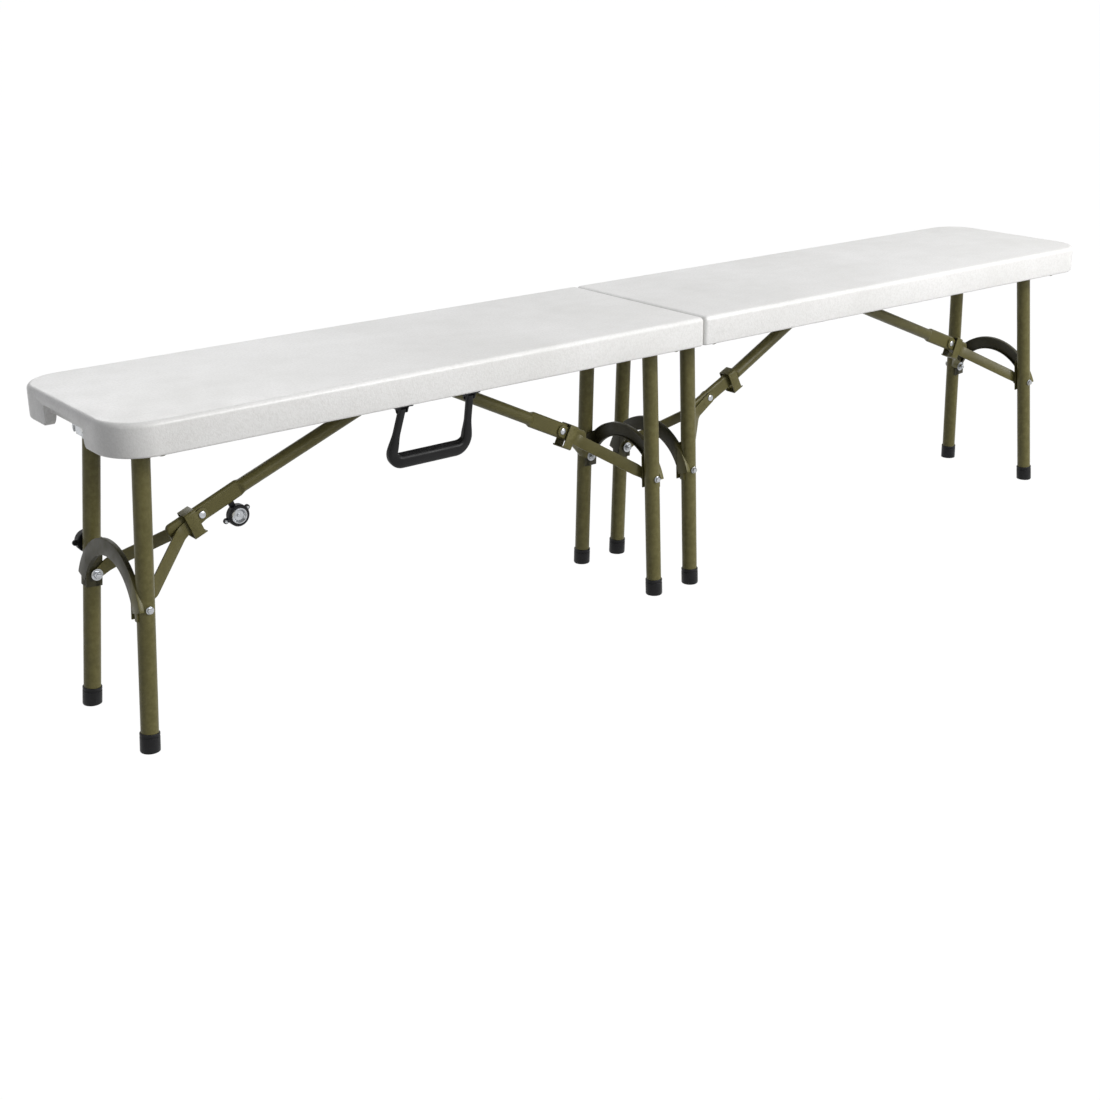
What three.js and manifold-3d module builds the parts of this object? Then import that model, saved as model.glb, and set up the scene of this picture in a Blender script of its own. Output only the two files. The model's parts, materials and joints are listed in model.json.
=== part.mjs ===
// A folding bench: two blow-moulded seat halves on a centre hinge, four splayed steel leg frames,
// each braced by a knee linkage with a sliding lock ring, a carry handle and a latch for the folded state.
// Millimetres, +X along the bench, +Z up, origin on the floor under the middle of the centre seam.
import * as THREE from "three";
import { mergeVertices } from "three/addons/utils/BufferGeometryUtils.js";
import Module from "manifold-3d";

const wasm = await Module();
wasm.setup();

// Shared clearances
const seatingGap = 0.3;
const holeClearance = 0.35;
const cutOverrun = 1;

// Seat halves
const benchLength = 1830;
const benchWidth = 303;
const seatHeight = 441;
const seatDepth = 43;
const seamGap = 1.5;
const cornerRadius = 56;
const seamCornerRadius = 6;
const topEdgeRadius = 9;
const bottomEdgeRadius = 3;
const skirtWall = 14;
const skirtDraft = 3;
const panelThickness = 13;
const ceilingFillet = 3;
const dimpleMouthRadius = 9;
const dimpleFloorRadius = 5;
const dimpleDepth = 7;
const dimplePitch = 150;
const dimpleInnerRowY = 44;
const dimpleOuterRowY = 96;
const notchHalfWidth = 52;
const notchFlare = 13;
const notchHeight = 19.5;

// Centre hinge
const hingeDrop = 14;
const hingeLeafThickness = 3;
const hingeLeafWidth = 13;
const hingeKnuckleRadius = 5.5;
const hingePinRadius = 2.6;
const hingePinHeadRadius = 4.4;
const hingePinHeadLength = 2.5;
const hingeKnuckleLength = 26;
const hingeKnuckleGap = 0.6;
const hingeKnuckles = 5;
const hingeLeafLength = 190;

// Leg frames
const legPivotHeight = 402;
const outerPivotX = 848;
const innerPivotX = 37.5;
const outerLean = THREE.MathUtils.degToRad(5);
const innerLean = 0;
const legTubeRadius = 11.5;
const legTubeWall = 1.3;
const legTopY = 72;
const legFootY = 89.7;
const crossTubeRadius = 10.5;
const socketDepth = 6;
const socketClearance = 0.5;
const boltDrop = 215;

// Leg arch, a pressed channel between the two legs of a frame
const archRise = 55;
const archBreadth = 22;
const archSheet = 1.8;
const archEndShare = 0.6;
const archDepth = 6.5;
const saddleLength = 33;
const saddleReach = 6;
const saddleWrap = 4;

// Foot caps
const capRadius = 13;
const capHeight = 25;
const capSole = 4;
const capEdge = 2;
const capLipShare = 0.25;

// Leg bolts
const boltShankRadius = 3;
const boltHeadRadius = 6;
const boltHeadLength = 4.5;
const boltHeadShare = 0.8;
const boltHeadSides = 6;
const washerThickness = 1.5;
const nutLength = 4;
const nutGap = 0.8;

// Brace linkage
const outerBracePinX = 380;
const innerBracePinX = 450;
const bracePinHeight = 412;
const bracePinOffsetY = 12;
const outerForkLength = 142.4;
const innerForkLength = 136.9;
const foldedKneeHeight = 413;
const braceTubeRadius = 9.5;
const flatHalfHeight = 12;
const flatHalfThickness = 4.4;
const flatLength = 60;
const flatBlend = 8;
const braceTail = 35;
const braceEndShares = { tip: 0.55, shoulder: 0.85, rise: 0.5, round: 0.125 };
const eyeHalfHeight = 10;
const eyeHalfThickness = 5;
const eyeLength = 12;
const eyeBlend = 14;

// Fork strips
const stripThickness = 2.4;
const stripHalfWidth = 9;
const stripTipRadius = 6.4;
const stripTaper = 22;
const stripStraight = 30;
const stripSideGap = 1;
const forkHeadLength = 35.5;
const forkHeadGap = 6;
const stripBendShares = { near: 0.125, far: 0.875, arrive: 0.25 };

// Knee rivets
const rivetRadius = 3.5;
const rivetHeadRadius = 6.5;
const rivetHeadHeight = 1.4;
const rivetShoulderShare = 0.25;
const rivetCrownShare = 0.6;

// Lock rings
const ringLength = 16;
const ringSheet = 1.6;
const ringBelowRivet = 7.5;
const ringSlack = 10;
const ringLip = 3;
const ringLipRise = 1;
const ringSideGap = 0.3;
const ringCornerRadius = 3;
const drawnUpRing = 62;

// Brace bracket under the middle of each half
const bracketPlateThickness = 3;
const bracketPlateMargin = 14;
const bracketCheek = 2;
const bracketCheekHalfWidth = 9;
const bracketPinRadius = 3;
const cheekTipShare = 0.6;

// Carry handle
const handleX = -467;
const handlePivotSpacing = 106;
const handlePivotInset = 9.5;
const handlePivotDrop = 7;
const handleReach = 83;
const handleTilt = THREE.MathUtils.degToRad(17);
const handleArmWidth = 10;
const handleArmDepth = 7;
const handleGripHeight = 19;
const handleGripDepth = 17;
const handleSpread = 6;
const handleCornerRadius = 16;
const handleBevelShare = 1 / 3;
const handlePinRadius = 2.2;
const handleClipLength = 28;
const handleClipPlate = 1.5;
const handleClipCheek = 2.2;
const handleClipDepth = 13;
const handleClipSideGap = 0.4;

// Latch and striker
const latchY = -35;
const latchInset = 19;
const latchPivotRise = 7;
const latchPlateThickness = 2;
const latchPlateHalfWidth = 12;
const latchFlange = 16;
const latchPinRadius = 2.5;
const latchHeadRadius = 4.5;
const latchHeadLength = 1.6;
const hookThickness = 2.5;
const hookHalfWidth = 7;
const hookMouthClearance = 0.8;

// Catches on the brace and the rear leg of the left outer frame
const catchRadius = 13;
const catchThickness = 8;
const catchFaceRadius = 10;
const catchFaceDepth = 1.5;
const catchEarSpacing = 34;
const catchEarRadius = 4;
const catchEarThickness = 3;
const catchAboveRivet = 44;
const catchBelowBrace = 29;
const catchNeckHalfWidth = 4;
const catchWebShare = 0.8;
const legCatchDrop = 178;

// Facet counts
const tubeSides = 12;
const saddleSides = 16;
const smallSides = 8;
const dimpleSides = 6;
const cornerSteps = 8;
const seamCornerSteps = 3;
const edgeSteps = 3;
const archSteps = 7;
const tipSteps = 3;

// Materials
const seatPlastic = new THREE.MeshStandardMaterial({ color: 0xe2e1df, roughness: 0.55, metalness: 0 });
const olivePaint = new THREE.MeshStandardMaterial({ color: 0x6d6546, roughness: 0.5, metalness: 0.2 });
const darkPaint = new THREE.MeshStandardMaterial({ color: 0x4a4631, roughness: 0.55, metalness: 0.2 });
const blackPlastic = new THREE.MeshStandardMaterial({ color: 0x1b1b1c, roughness: 0.6, metalness: 0 });
const zincSteel = new THREE.MeshStandardMaterial({ color: 0xb9bcc0, roughness: 0.35, metalness: 0.9 });

const bench = new THREE.Group();

// Solids from three.js geometries, and back
function solidOf(geometry) {
  const bare = geometry.clone();
  bare.deleteAttribute("normal");
  bare.deleteAttribute("uv");
  const merged = mergeVertices(bare, 1e-4);
  const mesh = new wasm.Mesh({
    numProp: 3,
    vertProperties: new Float32Array(merged.attributes.position.array),
    triVerts: new Uint32Array(merged.index.array),
  });
  return new wasm.Manifold(mesh);
}

function joined(solids) {
  return solids.reduce((whole, piece) => whole.add(piece));
}

function cut(solid, tools) {
  return tools.reduce((whole, tool) => whole.subtract(tool), solid);
}

function addPiece(parent, name, solid, material) {
  const data = solid.getMesh();
  const geometry = new THREE.BufferGeometry();
  geometry.setAttribute("position", new THREE.BufferAttribute(data.vertProperties, 3));
  geometry.setIndex(new THREE.BufferAttribute(data.triVerts, 1));
  const flat = geometry.toNonIndexed();
  flat.computeVertexNormals();
  const mesh = new THREE.Mesh(flat, material.clone());
  mesh.name = name;
  parent.add(mesh);
  return mesh;
}

// A closed skin through rings of equal point count, capped at both ends.
function loft(rings) {
  const count = rings[0].length;
  const positions = rings.flat().flatMap((point) => [point.x, point.y, point.z]);
  const index = [];
  for (let ring = 0; ring + 1 < rings.length; ring += 1) {
    for (let i = 0; i < count; i += 1) {
      const next = (i + 1) % count;
      const a = ring * count + i;
      const b = ring * count + next;
      const c = (ring + 1) * count + next;
      const d = (ring + 1) * count + i;
      index.push(a, b, c, a, c, d);
    }
  }
  const last = (rings.length - 1) * count;
  for (let i = 1; i + 1 < count; i += 1) {
    index.push(0, i + 1, i);
    index.push(last, last + i, last + i + 1);
  }
  const geometry = new THREE.BufferGeometry();
  geometry.setAttribute("position", new THREE.Float32BufferAttribute(positions, 3));
  geometry.setIndex(index);
  const made = solidOf(geometry);
  if (made.volume() > 0) return made;
  const turned = index.map((_, i) => index[i - (i % 3) + 2 - (i % 3)]);
  geometry.setIndex(turned);
  return solidOf(geometry);
}

// A cylinder or cone along an axis, from one point of that axis to another.
const axisTurn = {
  x: new THREE.Matrix4().makeRotationZ(-Math.PI / 2),
  y: new THREE.Matrix4(),
  z: new THREE.Matrix4().makeRotationX(Math.PI / 2),
};

function rod(axis, start, end, radius, centre, sides = tubeSides, endRadius = radius) {
  const geometry = new THREE.CylinderGeometry(endRadius, radius, end - start, sides);
  geometry.translate(0, (start + end) / 2, 0);
  geometry.applyMatrix4(axisTurn[axis]);
  geometry.translate(centre.x, centre.y, centre.z);
  return solidOf(geometry);
}

function block(x0, x1, y0, y1, z0, z1) {
  const geometry = new THREE.BoxGeometry(x1 - x0, y1 - y0, z1 - z0);
  geometry.translate((x0 + x1) / 2, (y0 + y1) / 2, (z0 + z1) / 2);
  return solidOf(geometry);
}

// An outline in the XZ plane pushed along Y.
function pushAlongY(shape, y0, y1, curveSegments = smallSides) {
  const geometry = new THREE.ExtrudeGeometry(shape, { depth: y1 - y0, bevelEnabled: false, curveSegments });
  geometry.rotateX(Math.PI / 2);
  geometry.translate(0, y1, 0);
  return solidOf(geometry);
}

// An outline in the YZ plane pushed along X.
function pushAlongX(shape, x0, x1, curveSegments = smallSides) {
  const geometry = new THREE.ExtrudeGeometry(shape, { depth: x1 - x0, bevelEnabled: false, curveSegments });
  geometry.rotateY(Math.PI / 2);
  geometry.rotateX(Math.PI / 2);
  geometry.translate(x0, 0, 0);
  return solidOf(geometry);
}

function point(x, y, z) {
  return new THREE.Vector3(x, y, z);
}

const origin = point(0, 0, 0);
const skirtBottom = seatHeight - seatDepth;
const ceiling = seatHeight - panelThickness;
const hingeAxisHeight = skirtBottom - hingeDrop;

// One level of a seat half, drawn for the half at +x, at an inset from its outer wall.
function panelRing(inset, z) {
  const seamX = seamGap / 2 + inset;
  const endX = benchLength / 2 - inset;
  const sideY = benchWidth / 2 - inset;
  const endRadius = Math.max(cornerRadius - inset, seamCornerRadius);
  const seamRadius = Math.max(seamCornerRadius - inset, bottomEdgeRadius);
  const corners = [
    { x: endX - endRadius, y: -sideY + endRadius, radius: endRadius, from: -Math.PI / 2, steps: cornerSteps },
    { x: endX - endRadius, y: sideY - endRadius, radius: endRadius, from: 0, steps: cornerSteps },
    { x: seamX + seamRadius, y: sideY - seamRadius, radius: seamRadius, from: Math.PI / 2, steps: seamCornerSteps },
    { x: seamX + seamRadius, y: -sideY + seamRadius, radius: seamRadius, from: Math.PI, steps: seamCornerSteps },
  ];
  return corners.flatMap((corner) =>
    Array.from({ length: corner.steps + 1 }, (_, step) => {
      const angle = corner.from + (step / corner.steps) * (Math.PI / 2);
      return point(corner.x + corner.radius * Math.cos(angle), corner.y + corner.radius * Math.sin(angle), z);
    }),
  );
}

function seatShell() {
  const levels = [];
  for (let step = 0; step <= edgeSteps; step += 1) {
    const angle = (step / edgeSteps) * (Math.PI / 2);
    levels.push([bottomEdgeRadius * (1 - Math.sin(angle)), skirtBottom + bottomEdgeRadius * (1 - Math.cos(angle))]);
  }
  for (let step = 0; step <= edgeSteps; step += 1) {
    const angle = (step / edgeSteps) * (Math.PI / 2);
    levels.push([topEdgeRadius * (1 - Math.cos(angle)), seatHeight - topEdgeRadius * (1 - Math.sin(angle))]);
  }
  const outside = loft(levels.map(([inset, z]) => panelRing(inset, z)));
  const recess = loft([
    panelRing(skirtWall, skirtBottom - cutOverrun),
    panelRing(skirtWall + skirtDraft, ceiling - ceilingFillet),
    panelRing(skirtWall + skirtDraft + ceilingFillet, ceiling),
  ]);
  return outside.subtract(recess);
}

// Round tack-off pockets moulded up into the panel from below.
function dimples() {
  const firstX = seamGap / 2 + dimplePitch;
  const lastX = benchLength / 2 - dimplePitch;
  const columns = Math.floor((lastX - firstX) / dimplePitch);
  const pitch = (lastX - firstX) / columns;
  const rows = [-dimpleOuterRowY, -dimpleInnerRowY, dimpleInnerRowY, dimpleOuterRowY];
  return rows.flatMap((y) =>
    Array.from({ length: columns + 1 }, (_, column) =>
      rod(
        "z",
        -cutOverrun,
        dimpleDepth,
        dimpleMouthRadius,
        point(firstX + column * pitch, y, ceiling),
        dimpleSides,
        dimpleFloorRadius,
      ),
    ),
  );
}

// The opening in the bottom of the end skirt, with its walls flared outwards at the rim.
function endNotch() {
  const shape = new THREE.Shape();
  const top = skirtBottom + notchHeight;
  const rim = skirtBottom - cutOverrun;
  shape.moveTo(-notchHalfWidth - notchFlare, rim);
  shape.lineTo(notchHalfWidth + notchFlare, rim);
  shape.quadraticCurveTo(notchHalfWidth, skirtBottom, notchHalfWidth, skirtBottom + notchFlare);
  shape.lineTo(notchHalfWidth, top);
  shape.lineTo(-notchHalfWidth, top);
  shape.lineTo(-notchHalfWidth, skirtBottom + notchFlare);
  shape.quadraticCurveTo(-notchHalfWidth, skirtBottom, -notchHalfWidth - notchFlare, rim);
  const endX = benchLength / 2;
  const through = skirtWall + skirtDraft + ceilingFillet;
  return pushAlongX(shape, endX - through, endX + cutOverrun, edgeSteps);
}

// Blind round sockets in the side walls that carry the ends of a frame's cross tube.
const socketFaceY = benchWidth / 2 - skirtWall - skirtDraft;
const crossTubeHalfLength = socketFaceY + socketDepth;

function frameSocket(pivotX) {
  const reach = crossTubeHalfLength + seatingGap;
  return rod("y", -reach, reach, crossTubeRadius + socketClearance, point(pivotX, 0, legPivotHeight));
}

function seatHalf() {
  return cut(seatShell(), [endNotch(), frameSocket(outerPivotX), frameSocket(innerPivotX), ...dimples()]);
}

const seatSolid = seatHalf();
for (const [name, side] of [
  ["seat_left", -1],
  ["seat_right", 1],
]) {
  addPiece(bench, name, seatSolid, seatPlastic).scale.x = side;
}

// Centre hinge: interleaved knuckles on two leaves screwed under the seam walls.
const knucklePitch = hingeKnuckleLength + hingeKnuckleGap;
const firstKnuckleY = -((hingeKnuckles - 1) / 2) * knucklePitch;

function hingeLeaf(firstKnuckle) {
  const leafTop = skirtBottom - seatingGap;
  const leafEdge = seamGap;
  const leaf = block(
    leafEdge,
    leafEdge + hingeLeafWidth,
    -hingeLeafLength / 2,
    hingeLeafLength / 2,
    leafTop - hingeLeafThickness,
    leafTop,
  );
  const knuckles = [];
  for (let i = firstKnuckle; i < hingeKnuckles; i += 2) {
    const y = firstKnuckleY + i * knucklePitch;
    const y0 = y - hingeKnuckleLength / 2;
    const y1 = y + hingeKnuckleLength / 2;
    const tongue = new THREE.Shape();
    tongue.moveTo(0, hingeAxisHeight + hingeKnuckleRadius);
    tongue.lineTo(leafEdge, leafTop - hingeLeafThickness / 2);
    tongue.lineTo(leafEdge + hingeLeafWidth - hingeLeafThickness, leafTop - hingeLeafThickness / 2);
    tongue.lineTo(hingeKnuckleRadius, hingeAxisHeight);
    tongue.lineTo(0, hingeAxisHeight);
    knuckles.push(rod("y", y0, y1, hingeKnuckleRadius, point(0, 0, hingeAxisHeight)));
    knuckles.push(pushAlongY(tongue, y0, y1));
  }
  const reach = hingeLeafLength / 2;
  const bore = rod("y", -reach, reach, hingePinRadius + holeClearance, point(0, 0, hingeAxisHeight), smallSides);
  return joined([leaf, ...knuckles]).subtract(bore);
}

const barrelHalf = (hingeKnuckles * knucklePitch) / 2;
const hingeAxis = point(0, 0, hingeAxisHeight);
const hingePin = joined([
  rod("y", -barrelHalf - hingePinHeadLength, barrelHalf + hingePinHeadLength, hingePinRadius, hingeAxis, smallSides),
  rod("y", -barrelHalf - hingePinHeadLength, -barrelHalf - seatingGap, hingePinHeadRadius, hingeAxis, smallSides),
  rod("y", barrelHalf + seatingGap, barrelHalf + hingePinHeadLength, hingePinHeadRadius, hingeAxis, smallSides),
]);
addPiece(bench, "hinge_leaf_left", hingeLeaf(0), zincSteel).scale.x = -1;
addPiece(bench, "hinge_leaf_right", hingeLeaf(1), zincSteel);
addPiece(bench, "hinge_pin", hingePin, zincSteel);

// A leg frame is drawn with its pivot at the origin, its legs down and +x away from the middle of its half.
const splay = Math.atan2(legFootY - legTopY, legPivotHeight);

// Puts a solid drawn around a leg's own axis, with +y outwards, onto the front (-1) or rear (+1) leg.
function ontoLeg(solid, legSide) {
  const turned = solid.rotate([THREE.MathUtils.radToDeg(splay), 0, 0]).translate([0, legTopY, 0]);
  return legSide > 0 ? turned : turned.mirror([0, 1, 0]);
}

function legLengthFor(lean) {
  return legPivotHeight / Math.cos(lean) / Math.cos(splay);
}

const boltAlongLeg = boltDrop / Math.cos(splay);
const boltY = legTopY + boltDrop * Math.tan(splay);

// The leg bolts are the fork's pivots, so they lie level along y, through both legs in one line.
function onBoltLine(side, start, end, radius, sides = smallSides) {
  const made = rod("y", start, end, radius, point(0, boltY, -boltDrop), sides);
  return side > 0 ? made : made.mirror([0, 1, 0]);
}

function legWeldment(lean) {
  const tubeEnd = legLengthFor(lean) - capSole - seatingGap;
  const borePast = cutOverrun;
  const legs = [-1, 1].map((side) => ontoLeg(rod("z", -tubeEnd, 0, legTubeRadius, origin), side));
  const bores = [-1, 1].map((side) =>
    ontoLeg(rod("z", -tubeEnd - borePast, -crossTubeRadius, legTubeRadius - legTubeWall, origin), side),
  );
  const holeReach = legTubeRadius + cutOverrun;
  const boltHoles = [-1, 1].map((side) => onBoltLine(side, -holeReach, holeReach, boltShankRadius + holeClearance));
  const half = crossTubeHalfLength;
  const cross = rod("y", -half, half, crossTubeRadius, origin);
  const crossBore = rod("y", -half - borePast, half + borePast, crossTubeRadius - legTubeWall, origin);
  return cut(joined([...legs, cross]), [...bores, crossBore, ...boltHoles]);
}

function archBand(breadthInset, x0, x1) {
  const radius = (boltY ** 2 + archRise ** 2) / (2 * archRise);
  const centreZ = boltDrop - archRise + radius;
  const start = Math.asin((centreZ - boltDrop) / radius) - (archBreadth * archEndShare) / radius;
  const shape = new THREE.Shape();
  shape.absarc(0, -centreZ, radius + archBreadth / 2 - breadthInset, start, Math.PI - start, false);
  shape.absarc(0, -centreZ, radius - archBreadth / 2 + breadthInset, Math.PI - start, start, true);
  return pushAlongX(shape, x0, x1, archSteps);
}

function legArch() {
  const innerRadius = legTubeRadius + seatingGap;
  const outerRadius = innerRadius + archSheet;
  const band = archBand(0, outerRadius - archDepth, outerRadius);
  const pocket = archBand(archSheet, outerRadius - archDepth - cutOverrun, innerRadius);
  const saddleTop = -boltAlongLeg + saddleLength / 2;
  const saddleBottom = -boltAlongLeg - saddleLength / 2;
  const saddles = [-1, 1].map((side) => {
    const wrap = rod("z", saddleBottom, saddleTop, outerRadius, origin, saddleSides);
    const cheek = block(-saddleReach, 0, -outerRadius, 0, saddleBottom, saddleTop);
    const keep = block(0, outerRadius, -outerRadius, saddleWrap, saddleBottom, saddleTop);
    return ontoLeg(wrap.intersect(keep).add(cheek), side);
  });
  const legRooms = [-1, 1].map((side) => {
    const drop = boltAlongLeg + archBreadth + saddleLength;
    const round = rod("z", -drop, -boltAlongLeg / 2, innerRadius, origin);
    const open = block(-outerRadius, 0, -innerRadius, innerRadius, -drop, -boltAlongLeg / 2);
    return ontoLeg(round.add(open), side);
  });
  const outsides = [-1, 1].map((side) => {
    const drop = boltAlongLeg + archBreadth + saddleLength;
    return ontoLeg(block(-outerRadius, outerRadius + cutOverrun, saddleWrap, drop, -drop, 0), side);
  });
  const reach = outerRadius + cutOverrun;
  const holes = [-1, 1].map((side) => onBoltLine(side, -reach, reach, boltShankRadius + holeClearance));
  const channel = cut(band.subtract(pocket), outsides);
  return cut(joined([channel, ...saddles]), [...legRooms, ...holes]);
}

const saddleOuter = legTubeRadius + seatingGap + archSheet;

function legBolt(side) {
  const headFace = legTubeRadius + seatingGap + boltHeadRadius * Math.tan(splay);
  const nutFace = -saddleOuter - stripSideGap - stripThickness - nutGap;
  const hexRadius = boltHeadRadius * boltHeadShare;
  return joined([
    onBoltLine(side, nutFace - nutLength, headFace + washerThickness, boltShankRadius),
    onBoltLine(side, headFace, headFace + washerThickness, boltHeadRadius),
    onBoltLine(side, headFace, headFace + boltHeadLength, hexRadius, boltHeadSides),
    onBoltLine(side, nutFace - nutLength, nutFace, hexRadius, boltHeadSides),
  ]);
}

// A moulded cap over the end of a leg, with its sole cut level with the floor.
function footCap(lean, legSide) {
  const bottom = -legLengthFor(lean) - capRadius * Math.sin(splay + lean);
  const top = -legLengthFor(lean) + capHeight;
  const bore = legTubeRadius + seatingGap;
  const tubeEnd = -legLengthFor(lean) + capSole;
  const profile = [
    new THREE.Vector2(0, bottom),
    new THREE.Vector2(capRadius - capEdge, bottom),
    new THREE.Vector2(capRadius, -legLengthFor(lean) + capEdge),
    new THREE.Vector2(capRadius, top - capEdge / 2),
    new THREE.Vector2(capRadius - capEdge * capLipShare, top),
    new THREE.Vector2(bore, top),
    new THREE.Vector2(bore, tubeEnd),
    new THREE.Vector2(0, tubeEnd),
  ];
  const geometry = new THREE.LatheGeometry(profile, tubeSides);
  geometry.rotateX(Math.PI / 2);
  const onLeg = ontoLeg(solidOf(geometry), legSide);
  const below = legPivotHeight;
  const floor = block(-below, below, -below, below, -below - capHeight, -below);
  const leanDegrees = THREE.MathUtils.radToDeg(lean);
  return onLeg.subtract(floor.rotate([0, leanDegrees, 0]));
}

// The knee linkage in the frame's own XZ plane. The brace is as long as the folded state needs:
// the legs lie flat then, and the knee lies just under the panel.
function linkage(lean, pinDistance, forkLength) {
  const bolt = new THREE.Vector2(boltDrop * Math.sin(lean), -boltDrop * Math.cos(lean));
  const pin = new THREE.Vector2(-pinDistance, bracePinHeight - legPivotHeight);
  const foldedRise = foldedKneeHeight - legPivotHeight;
  const foldedKnee = new THREE.Vector2(-boltDrop + Math.sqrt(forkLength ** 2 - foldedRise ** 2), foldedRise);
  const braceLength = foldedKnee.distanceTo(pin);
  const span = pin.distanceTo(bolt);
  const along = (braceLength ** 2 - forkLength ** 2 + span ** 2) / (2 * span);
  const across = Math.sqrt(braceLength ** 2 - along ** 2);
  const direction = bolt.clone().sub(pin).divideScalar(span);
  const knee = new THREE.Vector2(
    pin.x + along * direction.x - across * direction.y,
    pin.y + along * direction.y + across * direction.x,
  );
  return {
    bolt,
    pin,
    knee,
    braceLength,
    braceAngle: Math.atan2(knee.y - pin.y, knee.x - pin.x),
    forkAngle: Math.atan2(bolt.y - knee.y, bolt.x - knee.x),
  };
}

// A closed ring of points across the brace: a stadium when flat, a circle when round.
function braceRing(x, y, halfHeight, halfThickness) {
  const roundness = Math.min(halfHeight, halfThickness);
  return Array.from({ length: tubeSides }, (_, i) => {
    const angle = ((i + 0.5) / tubeSides) * 2 * Math.PI;
    const straightZ = Math.sign(Math.sin(angle)) * (halfHeight - roundness);
    const straightY = Math.sign(Math.cos(angle)) * (halfThickness - roundness);
    return point(x, y + straightY + roundness * Math.cos(angle), straightZ + roundness * Math.sin(angle));
  });
}

// The brace runs from its upper eye at the origin to the knee at +x, and on past the knee as a tail.
function braceTube(length, kneeY) {
  const roundEnd = length - flatLength - flatBlend;
  const yAt = (x) => (kneeY * THREE.MathUtils.clamp(x, 0, roundEnd)) / roundEnd;
  const eye = (x, share = 1) => braceRing(x, yAt(x), eyeHalfHeight * share, eyeHalfThickness);
  const round = (x) => braceRing(x, yAt(x), braceTubeRadius, braceTubeRadius);
  const flat = (x, share = 1) => braceRing(x, kneeY, flatHalfHeight * share, flatHalfThickness);
  const { tip, shoulder, rise, round: roundShare } = braceEndShares;
  const body = loft([
    eye(-eyeHalfHeight, tip),
    eye(-eyeHalfHeight * shoulder, shoulder),
    eye(-eyeHalfHeight * tip),
    eye(eyeLength),
    round(eyeLength + eyeBlend),
    round(roundEnd),
    flat(length - flatLength),
    flat(length + braceTail - flatHalfHeight * rise),
    flat(length + braceTail - flatHalfHeight * roundShare, shoulder),
    flat(length + braceTail, tip),
  ]);
  const reach = braceTubeRadius + Math.abs(kneeY);
  const pinHole = rod("y", -reach, reach, bracketPinRadius + holeClearance, origin, smallSides);
  const rivetHole = rod("y", -reach, reach, rivetRadius + holeClearance, point(length, kneeY, 0), smallSides);
  return cut(body, [pinHole, rivetHole]);
}

// A fork strip from the rivet at the origin to the leg bolt at +x, bent outwards in plan between them.
// The linkage is opened across the strips, just past the lock ring: the fork head is the length at the
// knee, with the rivet, and the rest of each strip belongs to the leg.
const stripInner = flatHalfThickness + seatingGap;
const stripRivetY = stripInner + stripThickness / 2;
const stripBoltY = boltY - saddleOuter - stripSideGap - stripThickness / 2;

function forkStrip(length, side) {
  const path = new THREE.CurvePath();
  const knee = point(-stripHalfWidth, stripRivetY, 0);
  const bendStart = point(stripStraight, stripRivetY, 0);
  const bendEnd = point(length - (stripBoltY - stripRivetY) / 2, stripBoltY, 0);
  const slopeStart = bendStart.clone().lerp(bendEnd, stripBendShares.near);
  const slopeEnd = bendStart.clone().lerp(bendEnd, stripBendShares.far);
  const tip = point(length + stripTipRadius, stripBoltY, 0);
  const straight = knee.clone().lerp(bendStart, stripBendShares.far);
  const arrive = bendEnd.clone().lerp(tip, stripBendShares.arrive);
  path.add(new THREE.LineCurve3(knee, straight));
  path.add(new THREE.QuadraticBezierCurve3(straight, bendStart, slopeStart));
  path.add(new THREE.LineCurve3(slopeStart, slopeEnd));
  path.add(new THREE.QuadraticBezierCurve3(slopeEnd, bendEnd, arrive));
  path.add(new THREE.LineCurve3(arrive, tip));
  const stations = path.curves.flatMap((curve, i) => {
    const steps = i % 2 ? edgeSteps : 1;
    return Array.from({ length: steps }, (_, step) => [curve.getPoint(step / steps), curve.getTangent(step / steps)]);
  });
  const lastCurve = path.curves[path.curves.length - 1];
  stations.push([lastCurve.getPoint(1), lastCurve.getTangent(1)]);
  const rings = stations.map(([place, heading]) => {
    const across = point(-heading.y, heading.x, 0).multiplyScalar(stripThickness / 2);
    const up = point(0, 0, stripHalfWidth);
    return [
      place.clone().sub(across).sub(up),
      place.clone().add(across).sub(up),
      place.clone().add(across).add(up),
      place.clone().sub(across).add(up),
    ];
  });
  const rounding = new THREE.Shape();
  rounding.absarc(0, 0, stripHalfWidth, Math.PI / 2, (3 * Math.PI) / 2, false);
  rounding.lineTo(length - stripTaper, -stripHalfWidth);
  rounding.absarc(length, 0, stripTipRadius, -Math.PI / 2, Math.PI / 2, false);
  rounding.lineTo(length - stripTaper, stripHalfWidth);
  const outline = pushAlongY(rounding, 0, legFootY, tipSteps);
  const hole = rod("y", 0, legFootY, boltShankRadius + holeClearance, point(length, 0, 0), smallSides);
  const whole = loft(rings).intersect(outline).subtract(hole);
  const sided = side > 0 ? whole : whole.mirror([0, 1, 0]);
  const clear = legFootY;
  const headRoom = block(-clear, forkHeadLength, -clear, clear, -clear, clear);
  const kneeEnd = sided.intersect(headRoom);
  const boltEnd = sided.subtract(headRoom.translate([forkHeadGap, 0, 0]));
  return { kneeEnd, boltEnd };
}

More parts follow.
